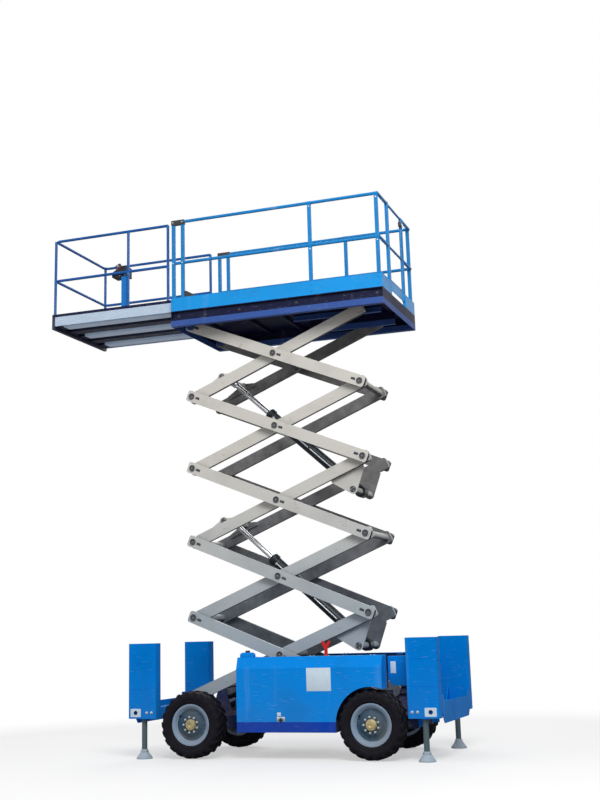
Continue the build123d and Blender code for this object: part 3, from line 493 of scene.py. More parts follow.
class Coat(Enum):
    """The finishes of the lift's pieces."""

    BLUE = Paint("machine_blue_paint", shade(0, 122, 212), 0.42, dust=0.05, chips=0.3, gloss=0.02)
    COVER = Paint("side_cover_paint", shade(0, 132, 222), coat=0.03, dust=0.05, chips=0.3,
                  gloss=0.06, band_top=0.388, band_colour=shade(0, 62, 170))
    # Painted light: the toeboard below 5.1866 m is a brighter blue than the posts and rails above it,
    # which stand for rails seen shaded from below.
    TOEBOARD = Paint("guardrail_paint", shade(22, 122, 188), coat=0.06, chips=0.3,
                     band_top=5.1866, band_colour=shade(20, 140, 212))
    # Painted shade: below 5.186 m the posts' feet are near-black, going on with the shaded top strip.
    SLIDER = Paint("slider_rail_paint", shade(16, 82, 152), coat=0.06, chips=0.3,
                   band_top=5.186, band_colour=shade(10, 20, 60))
    # Painted light and shade: near-black above 4.909 m for the shade in the side beams' recess and
    # under the deck, a lit blue-violet below for the beams' lower face.
    NAVY = Paint("platform_navy_paint", shade(14, 18, 52), 0.5, chips=0.3,
                 band_top=4.909, band_colour=shade(50, 80, 146))
    # Painted shade: the near-black of the extension's top strips stands for the shade on the deck's
    # rolled top edge.
    STRIP = Paint("strip_navy_paint", shade(10, 18, 56), 0.5, chips=0.2)
    FRAME = Paint("frame_navy_paint", shade(12, 34, 84), 0.5, dust=0.3)
    AXLE = Paint("axle_black_paint", shade(26, 30, 44), 0.55, dust=0.4)
    # The arms get painted shade on their undersides and on faces turned to the machine's middle.
    ARM = Paint("arm_grey_paint", shade(196, 193, 187), 0.45, dust=0.05, chips=0.3, soffit_shade=0.9,
                inside_shade=0.72, under=(0.10, 0.075, 0.06),
                band_top=3.3, band_blend=2.2, band_colour=shade(158, 168, 176))
    BLACK = Paint("cylinder_black_paint", shade(34, 40, 46), coat=0.1)
    GREY = Paint("engine_grey_paint", shade(110, 112, 116), 0.6, dust=0.35)
    RED = Paint("prop_red_paint", shade(200, 36, 34), 0.35, coat=0.1, dust=0.1)
    RIM = Paint("rim_grey_paint", shade(126, 148, 172), 0.42, coat=0.05, dust=0.25,
                under=(0.12, 0.09, 0.07))
    # Partly painted shade: the recessed dish is darker than the hoop for the shade in it, on top of
    # its teal-blue paint.
    DISH = Paint("rim_dish_paint", shade(36, 68, 90), 0.5, dust=0.25, under=(0.12, 0.09, 0.07))
    LEG = Paint("leg_grey_paint", shade(74, 94, 102), 0.45, dust=0.1,
                band_top=0.102, band_colour=shade(158, 174, 188))
    DESK = Paint("console_post_paint", (0.020, 0.021, 0.024), 0.5, chips=0.1,
                 band_top=5.572, band_colour=shade(16, 112, 190))
    PIN = Paint("pin_end_paint", shade(70, 72, 76), 0.4, coat=0.1, dust=0.1, chips=0.8)
    DECK = PlankMetal("deck_aluminium", (0.40, 0.50, 0.64), 0.45, (0.05, 1.0, 1.0), 0.12,
                      metal=0.3)
    TREAD = Steel("tread_sheet", (0.47, 0.51, 0.56), 0.40, (0.3, 0.3, 1.0), 0.10)
    CHROME = Steel("rod_chrome", (0.70, 0.72, 0.75), 0.12, oil=0.25, relief=0.01)
    ZINC = Steel("zinc_plate", (0.42, 0.46, 0.49), 0.36, (1.0, 1.0, 0.2), 0.25)
    BRASS = Steel("hub_brass", (0.50, 0.42, 0.22), 0.42, oil=0.4)
    TYRE = Rubber("tyre_rubber", (0.005, 0.005, 0.009), 0.05)
    PAD = Rubber("pad_rubber", (0.016, 0.016, 0.018), 0.2)
    CONSOLE = Moulding("console_plastic", (0.016, 0.017, 0.020), 0.5, 0.12, 320.0, 0.0006)
    LABEL = Moulding("blank_label", shade(196, 214, 228), 0.4, 0.25)
    KNOB = Moulding("knob_red_plastic", (0.55, 0.02, 0.015), 0.3)
    YELLOW = Moulding("button_yellow_plastic", (0.70, 0.45, 0.02), 0.32)

    @property
    def material(self) -> bpy.types.Material:
        """The finish's material, made once."""
        return bpy.data.materials.get(self.value.name) or self.value.build()


SLOT_COATS = {
    "tyre": Coat.TYRE, "rim_steel": Coat.RIM, "arm_grey": Coat.ARM, "cylinder_black": Coat.BLACK,
    "chrome_rod": Coat.CHROME, "zinc_steel": Coat.ZINC, "dark_frame": Coat.FRAME,
    "engine_grey": Coat.GREY, "red": Coat.RED, "deck_grey": Coat.DECK, "console_dark": Coat.DESK,
    "platform_navy": Coat.NAVY, "machine_blue": Coat.BLUE,
}
COAT_NODES = {
    Coat.COVER: [f"{side}_cover" for side in Side],
    Coat.TOEBOARD: ["platform_rails", "entrance_gate"],
    Coat.SLIDER: ["extension_rails"],
    Coat.AXLE: ["front_axle_beam", "rear_axle_beam", "left_knuckle", "right_knuckle", "tie_rod"],
    Coat.LEG: [f"{end}_{side}_leg" for end in End for side in Side],
}
NODE_COATS = {node: coat for coat, nodes in COAT_NODES.items() for node in nodes}


# ---- shapes ----


class Maker:
    """Builds one piece from bmesh shapes, in the part's own frame, in metres."""

    def __init__(self, name: str, *coats: Coat) -> None:
        """Starts an empty piece, with its finishes in the order of their slots."""
        self.name, self.coats, self.mesh = name, coats, bmesh.new()

    def own(self, before: set[bmesh.types.BMFace], coat: Coat) -> list[bmesh.types.BMFace]:
        """Gives new faces their finish.

        Args:
            before: The faces that were there already.
            coat: The finish.

        Returns:
            The new faces.
        """
        fresh = [face for face in self.mesh.faces if face not in before]
        for face in fresh:
            face.material_index = self.coats.index(coat)
        return fresh

    def _cone(self, radius: float, tip: float, depth: float, steps: int) -> list[Any]:
        """Adds an upright cone about the origin and gives its vertices."""
        return bmesh.ops.create_cone(self.mesh, cap_ends=True, cap_tris=False, segments=steps,
                                     radius1=radius, radius2=tip, depth=depth)["verts"]

    def _lay(self, verts: list[Any], turn: Matrix, place: Vector) -> None:
        """Turns vertices about the origin and moves them to their place."""
        bmesh.ops.rotate(self.mesh, matrix=turn, verts=verts)
        bmesh.ops.translate(self.mesh, vec=place, verts=verts)

    def _round(self, edges: Iterable[bmesh.types.BMEdge], width: float) -> None:
        """Rounds edges over a width, in two steps."""
        bmesh.ops.bevel(self.mesh, geom=list(edges), offset=width, offset_type="OFFSET",
                        affect="EDGES", segments=2, profile=0.5, material=-1)

    def block(self, low: Point, high: Point, coat: Coat, edge: float,
              turn: Matrix = Matrix.Identity(3)) -> None:
        """Adds a block with rounded edges.

        Args:
            low: One corner.
            high: The opposite corner.
            coat: Its finish.
            edge: Width of the rounding.
            turn: Rotation about the block's middle.
        """
        before = set(self.mesh.faces)
        low, high = Vector(low), Vector(high)
        size = Vector(abs(h - l) for l, h in zip(low, high))
        made = bmesh.ops.create_cube(self.mesh, size=1.0)["verts"]
        bmesh.ops.scale(self.mesh, vec=size, verts=made)
        self._lay(made, turn, (low + high) / 2)
        self._round({e for v in made for e in v.link_edges}, min(edge, 0.45 * min(size)))
        self.own(before, coat)

    def rod(self, start: Point, reach: Vector, radius: float, coat: Coat, edge: float, steps: int,
            tip: Optional[float] = None) -> None:
        """Adds a round or many-sided bar with rounded ends.

        Args:
            start: Middle of one end.
            reach: The way from there to the middle of the other end.
            radius: Radius at the start.
            coat: Its finish.
            edge: Width of the rounding.
            steps: Sides, 6 for a nut.
            tip: Radius at the end, if it is another one.
        """
        before = set(self.mesh.faces)
        start, end = Vector(start), Vector(start) + reach
        line = end - start  # Unlike reach, it has no negative zeros, which turn a bar.
        made = self._cone(radius, radius if tip is None else tip, line.length, steps)
        self._lay(made, line.to_track_quat("Z", "Y").to_matrix(), (start + end) / 2)
        caps = [f for f in {f for v in made for f in v.link_faces} if len(f.verts) > 4]
        self._round({e for f in caps for e in f.edges}, min(edge, 0.4 * radius))
        self.own(before, coat)

    def lathe(self, centre: Point, axis: Point, profile: Profile, coat: Coat, steps: int) -> None:
        """Spins a closed profile about an axis.

        Args:
            centre: A point of the axis.
            axis: Direction of the axis.
            profile: Pairs of distance along the axis and radius, as a loop off the axis.
            coat: Its finish.
            steps: Steps of the full turn.
        """
        before = set(self.mesh.faces)
        centre, axis = Vector(centre), Vector(axis).normalized()
        out = axis.orthogonal().normalized()
        verts = [self.mesh.verts.new(centre + axis * x + out * radius) for x, radius in profile]
        edges = [self.mesh.edges.new(pair) for pair in zip(verts, verts[1:] + verts[:1])]
        bmesh.ops.spin(self.mesh, geom=verts + edges, cent=centre, axis=axis, angle=2 * math.pi,
                       steps=steps, use_merge=True, use_duplicate=False)
        fresh = self.own(before, coat)
        ring = list({v for f in fresh for v in f.verts})
        bmesh.ops.remove_doubles(self.mesh, verts=ring, dist=WELD)
        bmesh.ops.recalc_face_normals(self.mesh, faces=[f for f in fresh if f.is_valid])

    def prism(self, outline: Sequence[Point], depth: Point, coat: Coat, edge: float) -> None:
        """Pushes a flat outline out into a solid.

        Args:
            outline: Corners of the outline, in the part's frame.
            depth: How far and which way it is pushed.
            coat: Its finish.
            edge: Width of the rounding.
        """
        before = set(self.mesh.faces)
        face = self.mesh.faces.new([self.mesh.verts.new(Vector(point)) for point in outline])
        grown = bmesh.ops.extrude_face_region(self.mesh, geom=[face])["geom"]
        bmesh.ops.translate(self.mesh, vec=Vector(depth), verts=verts_of(grown))
        fresh = [f for f in self.mesh.faces if f not in before]
        bmesh.ops.recalc_face_normals(self.mesh, faces=fresh)
        self._round({e for f in fresh for e in f.edges}, edge)
        self.own(before, coat)

    def tread(self, low: Point, high: Point, coat: Coat) -> None:
        """Covers a level sheet with raised lozenges, every other one turned crosswise.

        Args:
            low: Lowest corner of the sheet's upper face.
            high: Its opposite corner.
            coat: Their finish.
        """
        before, pitch = set(self.mesh.faces), LOZENGE_PITCH
        pairs, rows = int((high[0] - low[0]) / (2 * pitch)), int((high[1] - low[1]) / pitch)
        start = Vector(((low[0] + high[0] - (2 * pairs - 1) * pitch) / 2,
                        (low[1] + high[1] - (rows - 1) * pitch) / 2, low[2] + LOZENGE_RISE))
        strip: list[bmesh.types.BMVert] = []
        for column in (0, 1):
            for row in range(rows):
                made = self._cone(LOZENGE_FOOT, LOZENGE_TOP, LOZENGE_HEIGHT, 4)
                bmesh.ops.scale(self.mesh, vec=(1.0, LOZENGE_SQUEEZE, 1.0), verts=made)
                turn = Matrix.Rotation(math.radians(90 * ((row + column) % 2) - 45), 3, "Z")
                self._lay(made, turn, start + Vector((column, row, 0)) * pitch)
                strip += made
        whole = strip + list({e for v in strip for e in v.link_edges})
        whole += list({f for v in strip for f in v.link_faces})
        for step in range(1, pairs):
            copy = bmesh.ops.duplicate(self.mesh, geom=whole)["geom"]
            bmesh.ops.translate(self.mesh, vec=X_AXIS * 2 * pitch * step, verts=verts_of(copy))
        self.own(before, coat)

    def bolt(self, seat: Point, axis: Vector, size: float, coat: Coat,
             washer: bool = True) -> None:
        """Adds a hexagon bolt's head on its washer.

        Args:
            seat: Where the head stands.
            axis: The way that it points, of length 1.
            size: Width across the corners.
            coat: Its finish.
            washer: True for a washer under the head.
        """
        seat, axis = Vector(seat), axis * size
        if washer:
            self.rod(seat, axis * WASHER_HEIGHT, WASHER_RADIUS * size, coat, WASHER_EDGE, 16)
            seat += axis * WASHER_HEIGHT
        self.rod(seat, axis * HEAD_HEIGHT, 0.5 * size, coat, HEAD_EDGE * size, 6)

    def tube(self, points: Sequence[Vector], radius: float, coat: Coat, steps: int) -> None:
        """Adds a bent tube through points.

        Args:
            points: Corners of its middle line.
            radius: Its radius.
            coat: Its finish.
            steps: Sides of the tube.
        """
        for first, second in zip(points, points[1:]):
            self.rod(first, second - first, radius, coat, 0.0, steps)
        for corner in points[1:-1]:
            before = set(self.mesh.faces)
            ball = bmesh.ops.create_icosphere(self.mesh, subdivisions=2, radius=radius)["verts"]
            bmesh.ops.translate(self.mesh, vec=corner, verts=ball)
            self.own(before, coat)

    def done(self, body: str) -> bpy.types.Object:
        """Turns the shapes into a piece that rides on a body.

        Args:
            body: The body's name.

        Returns:
            The piece.
        """
        data = bpy.data.meshes.new(self.name)
        loose = [v for v in self.mesh.verts if not v.link_faces]
        bmesh.ops.delete(self.mesh, geom=loose, context="VERTS")
        self.mesh.to_mesh(data)
        self.mesh.free()
        for coat in self.coats:
            data.materials.append(coat.material)
        data.polygons.foreach_set("use_smooth", [True] * len(data.polygons))
        data.set_sharp_from_angle(angle=SHARP_ANGLE)
        piece = place_in_scene(self.name, data)
        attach(piece, body)
        LOG.info("%s: %d faces on %s", self.name, len(data.polygons), body)
        return piece


# ---- studio ----


@dataclass(frozen=True)
class Lamp:
    """Soft square lamp: where it hangs, what it points at, its width and its watts."""

    name: str
    place: Point
    target: Point
    size: float
    power: float

    def build(self) -> None:
        """Hangs the lamp."""
        data = bpy.data.lights.new(self.name, "AREA")
        data.size, data.energy = self.size, self.power
        lamp = place_in_scene(self.name, data)
        lamp.location = self.place
        aim = Vector(self.target) - Vector(self.place)
        lamp.rotation_euler = aim.to_track_quat("-Z", "Y").to_euler()


@dataclass
class Studio:
    """Plain pale floor, soft lamps and the camera."""

    eye: Point = (-4.736, 13.388, 1.300)
    yaw: float = 0.3471
    pitch: float = 0.2248
    roll: float = -0.0253
    lens: float = 55.09
    sensor: float = 36.0
    shift: Pair = (0.0194, -0.0585)
    reach: float = 200.0
    floor_half: float = 40.0
    floor_fade: Pair = (3.0, 8.0)
    floor_white: float = 0.45
    sky: float = 0.45
    lamps: tuple[Lamp, ...] = (
        Lamp("key_lamp", (-4.5, 8.5, 9.5), (0.3, 0.0, 2.8), 5.0, 1000.0),
        Lamp("front_lamp", (8.5, 7.0, 4.5), (0.3, 0.0, 2.6), 5.0, 180.0),
        Lamp("back_lamp", (2.0, -9.0, 8.0), (0.0, 0.0, 2.5), 6.0, 350.0))

    def build(self) -> None:
        """Builds the floor, the world, the lamps and the camera."""
        self._floor()
        self._world()
        for lamp in self.lamps:
            lamp.build()
        self._camera()
        bpy.context.scene.view_settings.view_transform = "Standard"

    def _floor(self) -> None:
        """Lays the floor, which fades to plain white away from the machine."""
        mesh = bmesh.new()
        bmesh.ops.create_grid(mesh, x_segments=8, y_segments=8, size=self.floor_half)
        data = bpy.data.meshes.new("floor")
        mesh.to_mesh(data)
        mesh.free()
        g = Graph(bpy.data.materials.new("pale_floor"))
        seen = g.node("ShaderNodeLightPath", outlet="Is Camera Ray")
        pale = g.tint((0.90, 0.90, 0.90), (0.86, 0.86, 0.86), g.noise(0.8, 2.0))
        plain = g.principled(Base_Color=g.tint((0.36, 0.36, 0.36), pale, seen), Roughness=0.9)
        white = g.node("ShaderNodeEmission", {"Color": ALIKE, "Strength": 1.0})
        reach = g.node("ShaderNodeVectorMath", {0: g.place()}, "Value", operation="LENGTH")
        share = g.highest(reach.between(*self.floor_fade), self.floor_white) * seen
        mixed = g.node("ShaderNodeMixShader", {0: share, 1: plain, 2: white})
        data.materials.append(g.end_in(mixed))
        place_in_scene("floor", data)

    def _world(self) -> None:
        """Sets an even sky that the camera, glass and gloss see as white."""
        world = bpy.data.worlds.new("even_sky")
        g = Graph(world)
        camera, glass, gloss = (g.node("ShaderNodeLightPath", outlet=f"Is {kind} Ray")
                                for kind in ("Camera", "Transmission", "Glossy"))
        plain, white = (g.node("ShaderNodeBackground", {"Color": ALIKE, "Strength": strength})
                        for strength in (self.sky, 1.0))
        seen = g.highest(g.highest(camera, glass), gloss)
        g.end_in(g.node("ShaderNodeMixShader", {0: seen, 1: plain, 2: white}))
        bpy.context.scene.world = world

    def _camera(self) -> None:
        """Sets up the camera."""
        data = bpy.data.cameras.new("camera")
        data.lens, data.sensor_width, data.clip_end = self.lens, self.sensor, self.reach
        data.shift_x, data.shift_y = self.shift
        camera = place_in_scene("camera", data)
        turns = ((math.pi + self.yaw, "Z"), (math.pi / 2 + self.pitch, "X"), (self.roll, "Z"))
        view = Matrix.Translation(self.eye)
        for angle, axis in turns:
            view @= Matrix.Rotation(angle, 4, axis)
        camera.matrix_world = view
        bpy.context.scene.camera = camera


# ---- sub-assemblies ----


@dataclass
class Wheel:
    """Lugged tyre on a steel rim with its hub, nuts and valve."""

    end: End
    side: Side
    lugs: int = 22
    lug_width: float = 0.034
    lug_edge: float = 0.0025
    slant: float = 2.1
    slant_middle: float = 0.055
    nuts: int = 9
    nut_circle: float = 0.081
    hub_bolts: int = 6
    hub_circle: float = 0.0455
    valve_turn: float = 0.6
    valve_circle: float = 0.160
    sidewall: Profile = loop(
        97, 205.5, 99, 221, 112, 228, 121, 240, 122.5, 246, 120, 252, 126.5, 270, 129, 290, 126.5,
        308, 119, 322, 107, 333, 85, 339, 45, 341.5)
    lug: Profile = loop(
        4, 334, 4, 353.2, 85, 352.2, 108, 345.2, 123, 334, 129.5, 306, 122, 300, 112, 322, 90, 332)
    hoop: Profile = loop(
        109.5, 216.5, 107, 219, 103.5, 218, 102, 212, 101, 204.7, -101, 204.7, -102, 212, -103.5,
        218, -107, 219, -109.5, 216.5, -110, 184, 20, 180, 58, 171, 75, 166, 79, 172, 84, 178, 96,
        183, 100, 189, 107, 198, 109.5, 206)
    disc: Profile = loop(
        60, 173, 60, 130, 70, 100, 70, 80, 0, 62, 0, 30, 92, 30, 92, 98, 88, 108, 77, 126, 72, 138,
        72, 158, 75, 168, 73, 173)
    hub: Profile = loop(
        60, 1, 60, 61, 102, 61, 106, 57, 116, 55, 119.5, 50, 120, 40, 123.5, 37, 124.5, 20, 121, 15,
        121, 1)

    def __post_init__(self) -> None:
        """Finds the wheel's corner of the machine and its CAD tyre's middle."""
        self.corner = f"{self.end}_{self.side}"
        low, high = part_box(f"{self.corner}_tyre")
        self.centre = (Vector(low) + Vector(high)) / 2

    def build(self) -> None:
        """Builds the whole wheel."""
        self._tyre()
        self._rim()

    def spot(self, turn: float, out: float, radius: float) -> Vector:
        """Gives the point at a turn about the axle, a way out and a distance from it."""
        return self.centre + self.side.out * out + ray(turn) * radius

    def _tyre(self) -> None:
        """Builds the tyre with its lugs and sidewall ribs."""
        maker = Maker(f"{self.corner}_wheel_tyre_tread", Coat.TYRE)
        far_wall = ((-out, radius) for out, radius in reversed(self.sidewall))
        maker.lathe(self.centre, self.side.out, (*self.sidewall, *far_wall), Coat.TYRE, 72)
        for hand in (1, -1):
            for turn in circle(self.lugs, 0.25 * hand):
                along = ray(turn + self.slant * self.slant_middle + math.pi / 2) * self.lug_width
                outline = [self.spot(turn + self.slant * out, hand * out, radius) - along / 2
                           for out, radius in self.lug]
                maker.prism(outline, along, Coat.TYRE, self.lug_edge)
        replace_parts(maker.done(f"{self.corner}_wheel"), f"{self.corner}_tyre")

    def _rim(self) -> None:
        """Builds the rim, its hub, nuts and valve."""
        out = self.side.out
        maker = Maker(f"{self.corner}_wheel_rim_dish",
                      Coat.RIM, Coat.DISH, Coat.BRASS, Coat.ZINC, Coat.TYRE)
        for profile, coat, steps in (
                (self.hoop, Coat.RIM, 96), (self.disc, Coat.DISH, 96), (self.hub, Coat.BRASS, 48)):
            maker.lathe(self.centre, out, profile, coat, steps)
        for turn in circle(self.nuts):
            nut, stud = (self.spot(turn, way, self.nut_circle) for way in (0.0915, 0.10365))
            maker.rod(nut, out * 0.01485, 0.0135, Coat.ZINC, 0.00162, 6)
            maker.rod(stud, out * 0.0108, 0.00702, Coat.ZINC, 0.00108, 12)
        for turn in circle(self.hub_bolts):
            seat = self.spot(turn, 0.1195, self.hub_circle)
            maker.bolt(seat, out, 0.009, Coat.ZINC, washer=False)
        foot, stem = (self.spot(self.valve_turn, way, self.valve_circle) for way in (0.070, 0.086))
        maker.rod(foot, out * 0.018, 0.011, Coat.TYRE, 0.003, 16, 0.008)
        maker.rod(stem, out * 0.022, 0.0045, Coat.TYRE, 0.001, 12)
        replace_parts(maker.done(f"{self.corner}_wheel"), f"{self.corner}_rim")


@dataclass
class ScissorStack:
    """Pin caps, keeper plates, weld beads and pads of the five levels of arms."""

    levels: int = 5
    front_x: float = 1.107
    rear_x: float = -0.947
    base_z: float = 0.651
    rise: float = 0.84674
    tubes: tuple[tuple[int, ...], ...] = ((0, 1), (0, 2), (0, 1), (0, 2), (1,))
    shafts: dict[int, Profile] = field(default_factory=lambda: {
        5: ((-0.784, 1.149),), 3: ((-0.784, 2.843), (0.779, 2.572)), 1: ((0.779, 4.265),)})
    shaft_bolts: Sizes = (0.0, 2.094, 4.189)
    bare_pins: Profile = ((5, 0), (1, 2))
    welds: Pair = (0.35, 1.65)
    keeper_way: float = 0.078
    shaft_y: float = 0.3398
    tube_y: float = 0.344
    weld_y: float = 0.3953
    bead_y: float = 0.4735
    keeper_y: float = 0.4745
    cap_y: float = 0.4852
    plug_y: float = 0.450
    cap: Profile = loop(0, 35.5, 2.4, 34.5, 3, 30, 1.2, 27, 1.2, 0.5, -1, 0.5, -1, 35.5)
    tube_bead: Profile = loop(0, 47.5, 3, 46.5, 8.5, 39, 8.5, 37.5, 0, 37.5)
    shaft_end: Profile = loop(-2, 0.5, -2, 37, 1, 37, 2, 35.5, 2, 0.5)
    pin_bead: Profile = loop(0, 47, 2.5, 46.2, 3.2, 37.5, 0, 37.2)

    def build(self) -> None:
        """Dresses every level."""
        for level in range(1, self.levels + 1):
            self._inner_arms(level)
            self._outer_arms(level)

    def station(self, level: int, inner: bool, place: float) -> Vector:
        """Gives a point of an arm's middle line, at Y 0.

        Args:
            level: The arm's level, from 1 at the top.
            inner: True for an inner arm.
            place: 0 at its lower pin, 1 at its middle, 2 at its upper pin.

        Returns:
            The point.
        """
        start, end = (self.front_x, self.rear_x) if inner else (self.rear_x, self.front_x)
        height = self.base_z + (self.levels - level + place / 2) * self.rise
        return Vector((start + (end - start) * place / 2, 0, height))

    def _inner_arms(self, level: int) -> None:
        """Dresses a level's inner arms, with the ends of the cylinders' shafts on them.

        Args:
            level: Their level.
        """
        maker = Maker(f"inner_arm_fittings_{level}", Coat.ARM, Coat.ZINC, Coat.PIN)
        for out in (side.out for side in Side):
            for place in (0, 1, 2):
                if (level, place) not in self.bare_pins:
                    pin = self.station(level, True, place) + out * self.cap_y
                    maker.lathe(pin, out, self.cap, Coat.PIN, 32)
                    maker.rod(pin + out * 0.0003, out * 0.005, 0.0045, Coat.ZINC, 0.001, 10)
            for place in self.tubes[level - 1]:
                tube = self.station(level, True, place) + out * self.tube_y
                maker.lathe(tube, -out, self.tube_bead, Coat.ARM, 32)
            for place in self.welds:
                seat = self.station(level, True, place) + out * self.weld_y
                maker.rod(seat, out * 0.0025, 0.016, Coat.ARM, 0.0008, 24)
            for x, z in self.shafts.get(level, ()):
                seat = Vector((x, 0, z)) + out * self.shaft_y
                maker.lathe(seat, out, self.shaft_end, Coat.PIN, 40)
                for turn in self.shaft_bolts:
                    maker.rod(seat + ray(turn) * 0.022, out * 0.003, 0.0055, Coat.ZINC, 0.0005, 6)
        maker.done(f"inner_{level}")

    def _outer_arms(self, level: int) -> None:
        """Dresses a level's outer arms, with the dark plugs that close their boxes.

        Args:
            level: Their level.
        """
        maker = Maker(f"outer_arm_fittings_{level}", Coat.ARM, Coat.PIN, Coat.PAD)
        pins = [self.station(level, False, place) for place in (0, 1, 2)]
        along = (pins[2] - pins[0]).normalized()
        above = along.cross(Y_AXIS)
        for out in (side.out for side in Side):
            for pin, towards in zip(pins, (1, -1, -1)):
                if level == self.levels and pin is pins[0]:
                    continue
                maker.lathe(pin + out * self.bead_y, out, self.pin_bead, Coat.ARM, 40)
                keeper = pin + along * towards * self.keeper_way + out * self.keeper_y
                corners = rectangle(keeper, along * 0.026, above * 0.013)
                maker.prism(corners, out * 0.004, Coat.PIN, 0.001)
                for x in (-0.015, 0.015):
                    maker.bolt(keeper + along * x + out * 0.0037, out, 0.013, Coat.PIN)
            if level != self.levels:
                for pin, way in ((pins[0], -along), (pins[2], along)):
                    end = pin + way * 0.0595 + out * self.plug_y
                    maker.prism(rectangle(end, out * 0.019, above * 0.046), way * 0.003,
                                Coat.PAD, 0.001)
        maker.done(f"outer_{level}")


@dataclass
class LiftCylinder:
    """Gland, ports, transfer pipe and collars of one lift cylinder."""

    name: str
    foot: Point
    head: Point
    radius: float = 0.062
    length: float = 1.480
    port: float = 0.13
    grooves: int = 4
    clips: Sizes = (0.42, 0.80, 1.16)
    gland: Profile = loop(
        -52, 62, -52, 71.5, -4, 71.5, 2, 66, 6, 50, 16, 46, 18, 34, 17, 31.2, 0, 31.2)
    groove: Profile = loop(0, 70.5, 0.8, 73.2, 4.2, 73.2, 5, 70.5)
    bead: Profile = loop(0, 61, 3, 66, 9, 63, 12, 61)
    collar: Profile = loop(-12, 30.5, -12, 36, 0, 42, 16, 42, 20, 30.5)

    def build(self) -> None:
        """Builds the fittings of the barrel and the rod."""
        start = Vector(self.foot)
        whole = Vector(self.head) - start
        line = whole.normalized()

        def at(along: float, out: float = 0.0) -> Vector:
            """Gives the point at a way from the cylinder's foot and out to the left."""
            return start + line * along + Y_AXIS * out

        maker = Maker(f"{self.name}_barrel_fittings", Coat.BLACK, Coat.ZINC)
        rings = [(self.length, self.gland), (0.060, self.bead)]
        rings += [(self.length - 0.044 + 0.010 * n, self.groove) for n in range(self.grooves)]
        for along, profile in rings:
            maker.lathe(at(along), line, profile, Coat.BLACK, 48)
        far_port, side = self.length - 0.10, self.radius + 0.019
        for along in (self.port, far_port):
            maker.rod(at(along, self.radius - 0.006), Y_AXIS * 0.020, 0.019, Coat.BLACK, 0.002, 24)
            maker.rod(at(along, self.radius + 0.010), Y_AXIS * 0.016, 0.015, Coat.ZINC, 0.0015, 6)
        runs = (self.port, self.port + 0.015, far_port - 0.015, far_port)
        maker.tube([at(along, side) for along in runs], 0.008, Coat.ZINC, 14)
        tilt = Matrix.Rotation(-math.atan2(line.z, line.x), 3, "Y")
        for along in self.clips:
            maker.block(at(along, side) - Vector((0.013, 0.019, 0.013)),
                        at(along, side) + Vector((0.013, 0.010, 0.013)), Coat.BLACK, 0.003, tilt)
        maker.done(f"{self.name}_barrel")
        eye = Maker(f"{self.name}_rod_eye_collar", Coat.ZINC)
        eye.lathe(at(whole.length - 0.060), line, self.collar, Coat.ZINC, 40)
        eye.done(f"{self.name}_rod")


@dataclass
class SideCover:
    """Latch, bolts and lip of one hinged side cover, with the left one's plate and cap."""

    side: Side
    face: float = 0.775
    hinges: Sizes = (0.33, -0.34, -1.01)
    bolts: Profile = loop(-1135, 880, 459, 460, 459, 600, 459, 740, 459, 880)
    housing: Profile = loop(285, 1052, 448, 1052, 448, 1088, 424, 1106, 309, 1106, 285, 1088)
    cap: Profile = loop(-2, 0.5, -2, 24, 4, 26, 16, 26, 21, 22, 22.5, 0.5)

    def build(self) -> None:
        """Builds the cover's trim."""
        sign, out = self.side.value, self.side.out
        maker = Maker(f"{self.side}_cover_trim", Coat.COVER, Coat.LABEL, Coat.ZINC, Coat.CONSOLE)
        y = sign * self.face
        maker.block((-0.075, y, 0.392), (0.015, y + sign * 0.0035, 0.440), Coat.ZINC, 0.001)
        maker.rod((-0.030, y, 0.408), out * 0.0065, 0.020, Coat.CONSOLE, 0.002, 32)
        maker.block((-0.058, y + sign * 0.004, 0.403), (-0.002, y + sign * 0.012, 0.413),
                    Coat.CONSOLE, 0.003)
        for x in (hinge + dx for hinge in self.hinges for dx in (-0.02, 0.02)):
            maker.bolt((x, sign * 0.612, 1.0545), Z_AXIS, 0.013, Coat.ZINC)
        for x, z in self.bolts:
            maker.bolt((x, y, z), out, 0.010, Coat.COVER, washer=False)
        maker.block((-0.590, y, 0.281), (0.450, y + sign * 0.004, 0.294), Coat.COVER, 0.0015)
        if self.side is Side.LEFT:
            maker.block((-0.596, y, 0.699), (-0.326, y + 0.0024, 0.936), Coat.LABEL, 0.001)
            maker.block((-0.030, y, 0.448), (0.012, y + 0.0022, 0.484), Coat.LABEL, 0.0008)
            for x, z in ((-0.584, 0.711), (-0.584, 0.924), (-0.338, 0.711), (-0.338, 0.924)):
                maker.rod((x, y, z), out * 0.0042, 0.0042, Coat.ZINC, 0.0015, 12)
            outline = [(x, 0.668, z) for x, z in self.housing]
            maker.prism(outline, out * 0.058, Coat.COVER, 0.006)
            maker.lathe((0.366, 0.697, 1.105), Z_AXIS, self.cap, Coat.CONSOLE, 32)
        maker.done(f"{self.side}_cover")


@dataclass
class RearFender:
    """Blue corner panel between a side cover and its rear outrigger box."""

    side: Side
    face: float = 0.612
    thick: float = 0.012
    outline: Profile = loop(-1416, 742, -1416, 1040, -1178, 1040, -1178, 800, -1225, 742)

    def build(self) -> None:
        """Builds the panel, its two flanges and the left one's blank plate."""
        out = self.side.out
        y, inner, outer = (self.side.value * (self.face - inset) for inset in (0, 0.110, 0.006))
        maker = Maker(f"{self.side}_rear_fender", Coat.BLUE, Coat.LABEL, Coat.ZINC)
        panel = [(x, y, z) for x, z in self.outline]
        maker.prism(panel, out * -self.thick, Coat.BLUE, 0.003)
        maker.block((-1.416, inner, 1.030), (-1.178, outer, 1.040), Coat.BLUE, 0.003)
        maker.block((-1.416, inner, 0.742), (-1.404, outer, 1.036), Coat.BLUE, 0.003)
        for z in (0.80, 0.98):
            maker.bolt((-1.392, y, z), out, 0.016, Coat.ZINC)
        if self.side is Side.LEFT:
            maker.block((-1.262, y - 0.001, 0.866), (-1.204, y + 0.002, 0.986), Coat.LABEL, 0.001)
        maker.done("chassis")


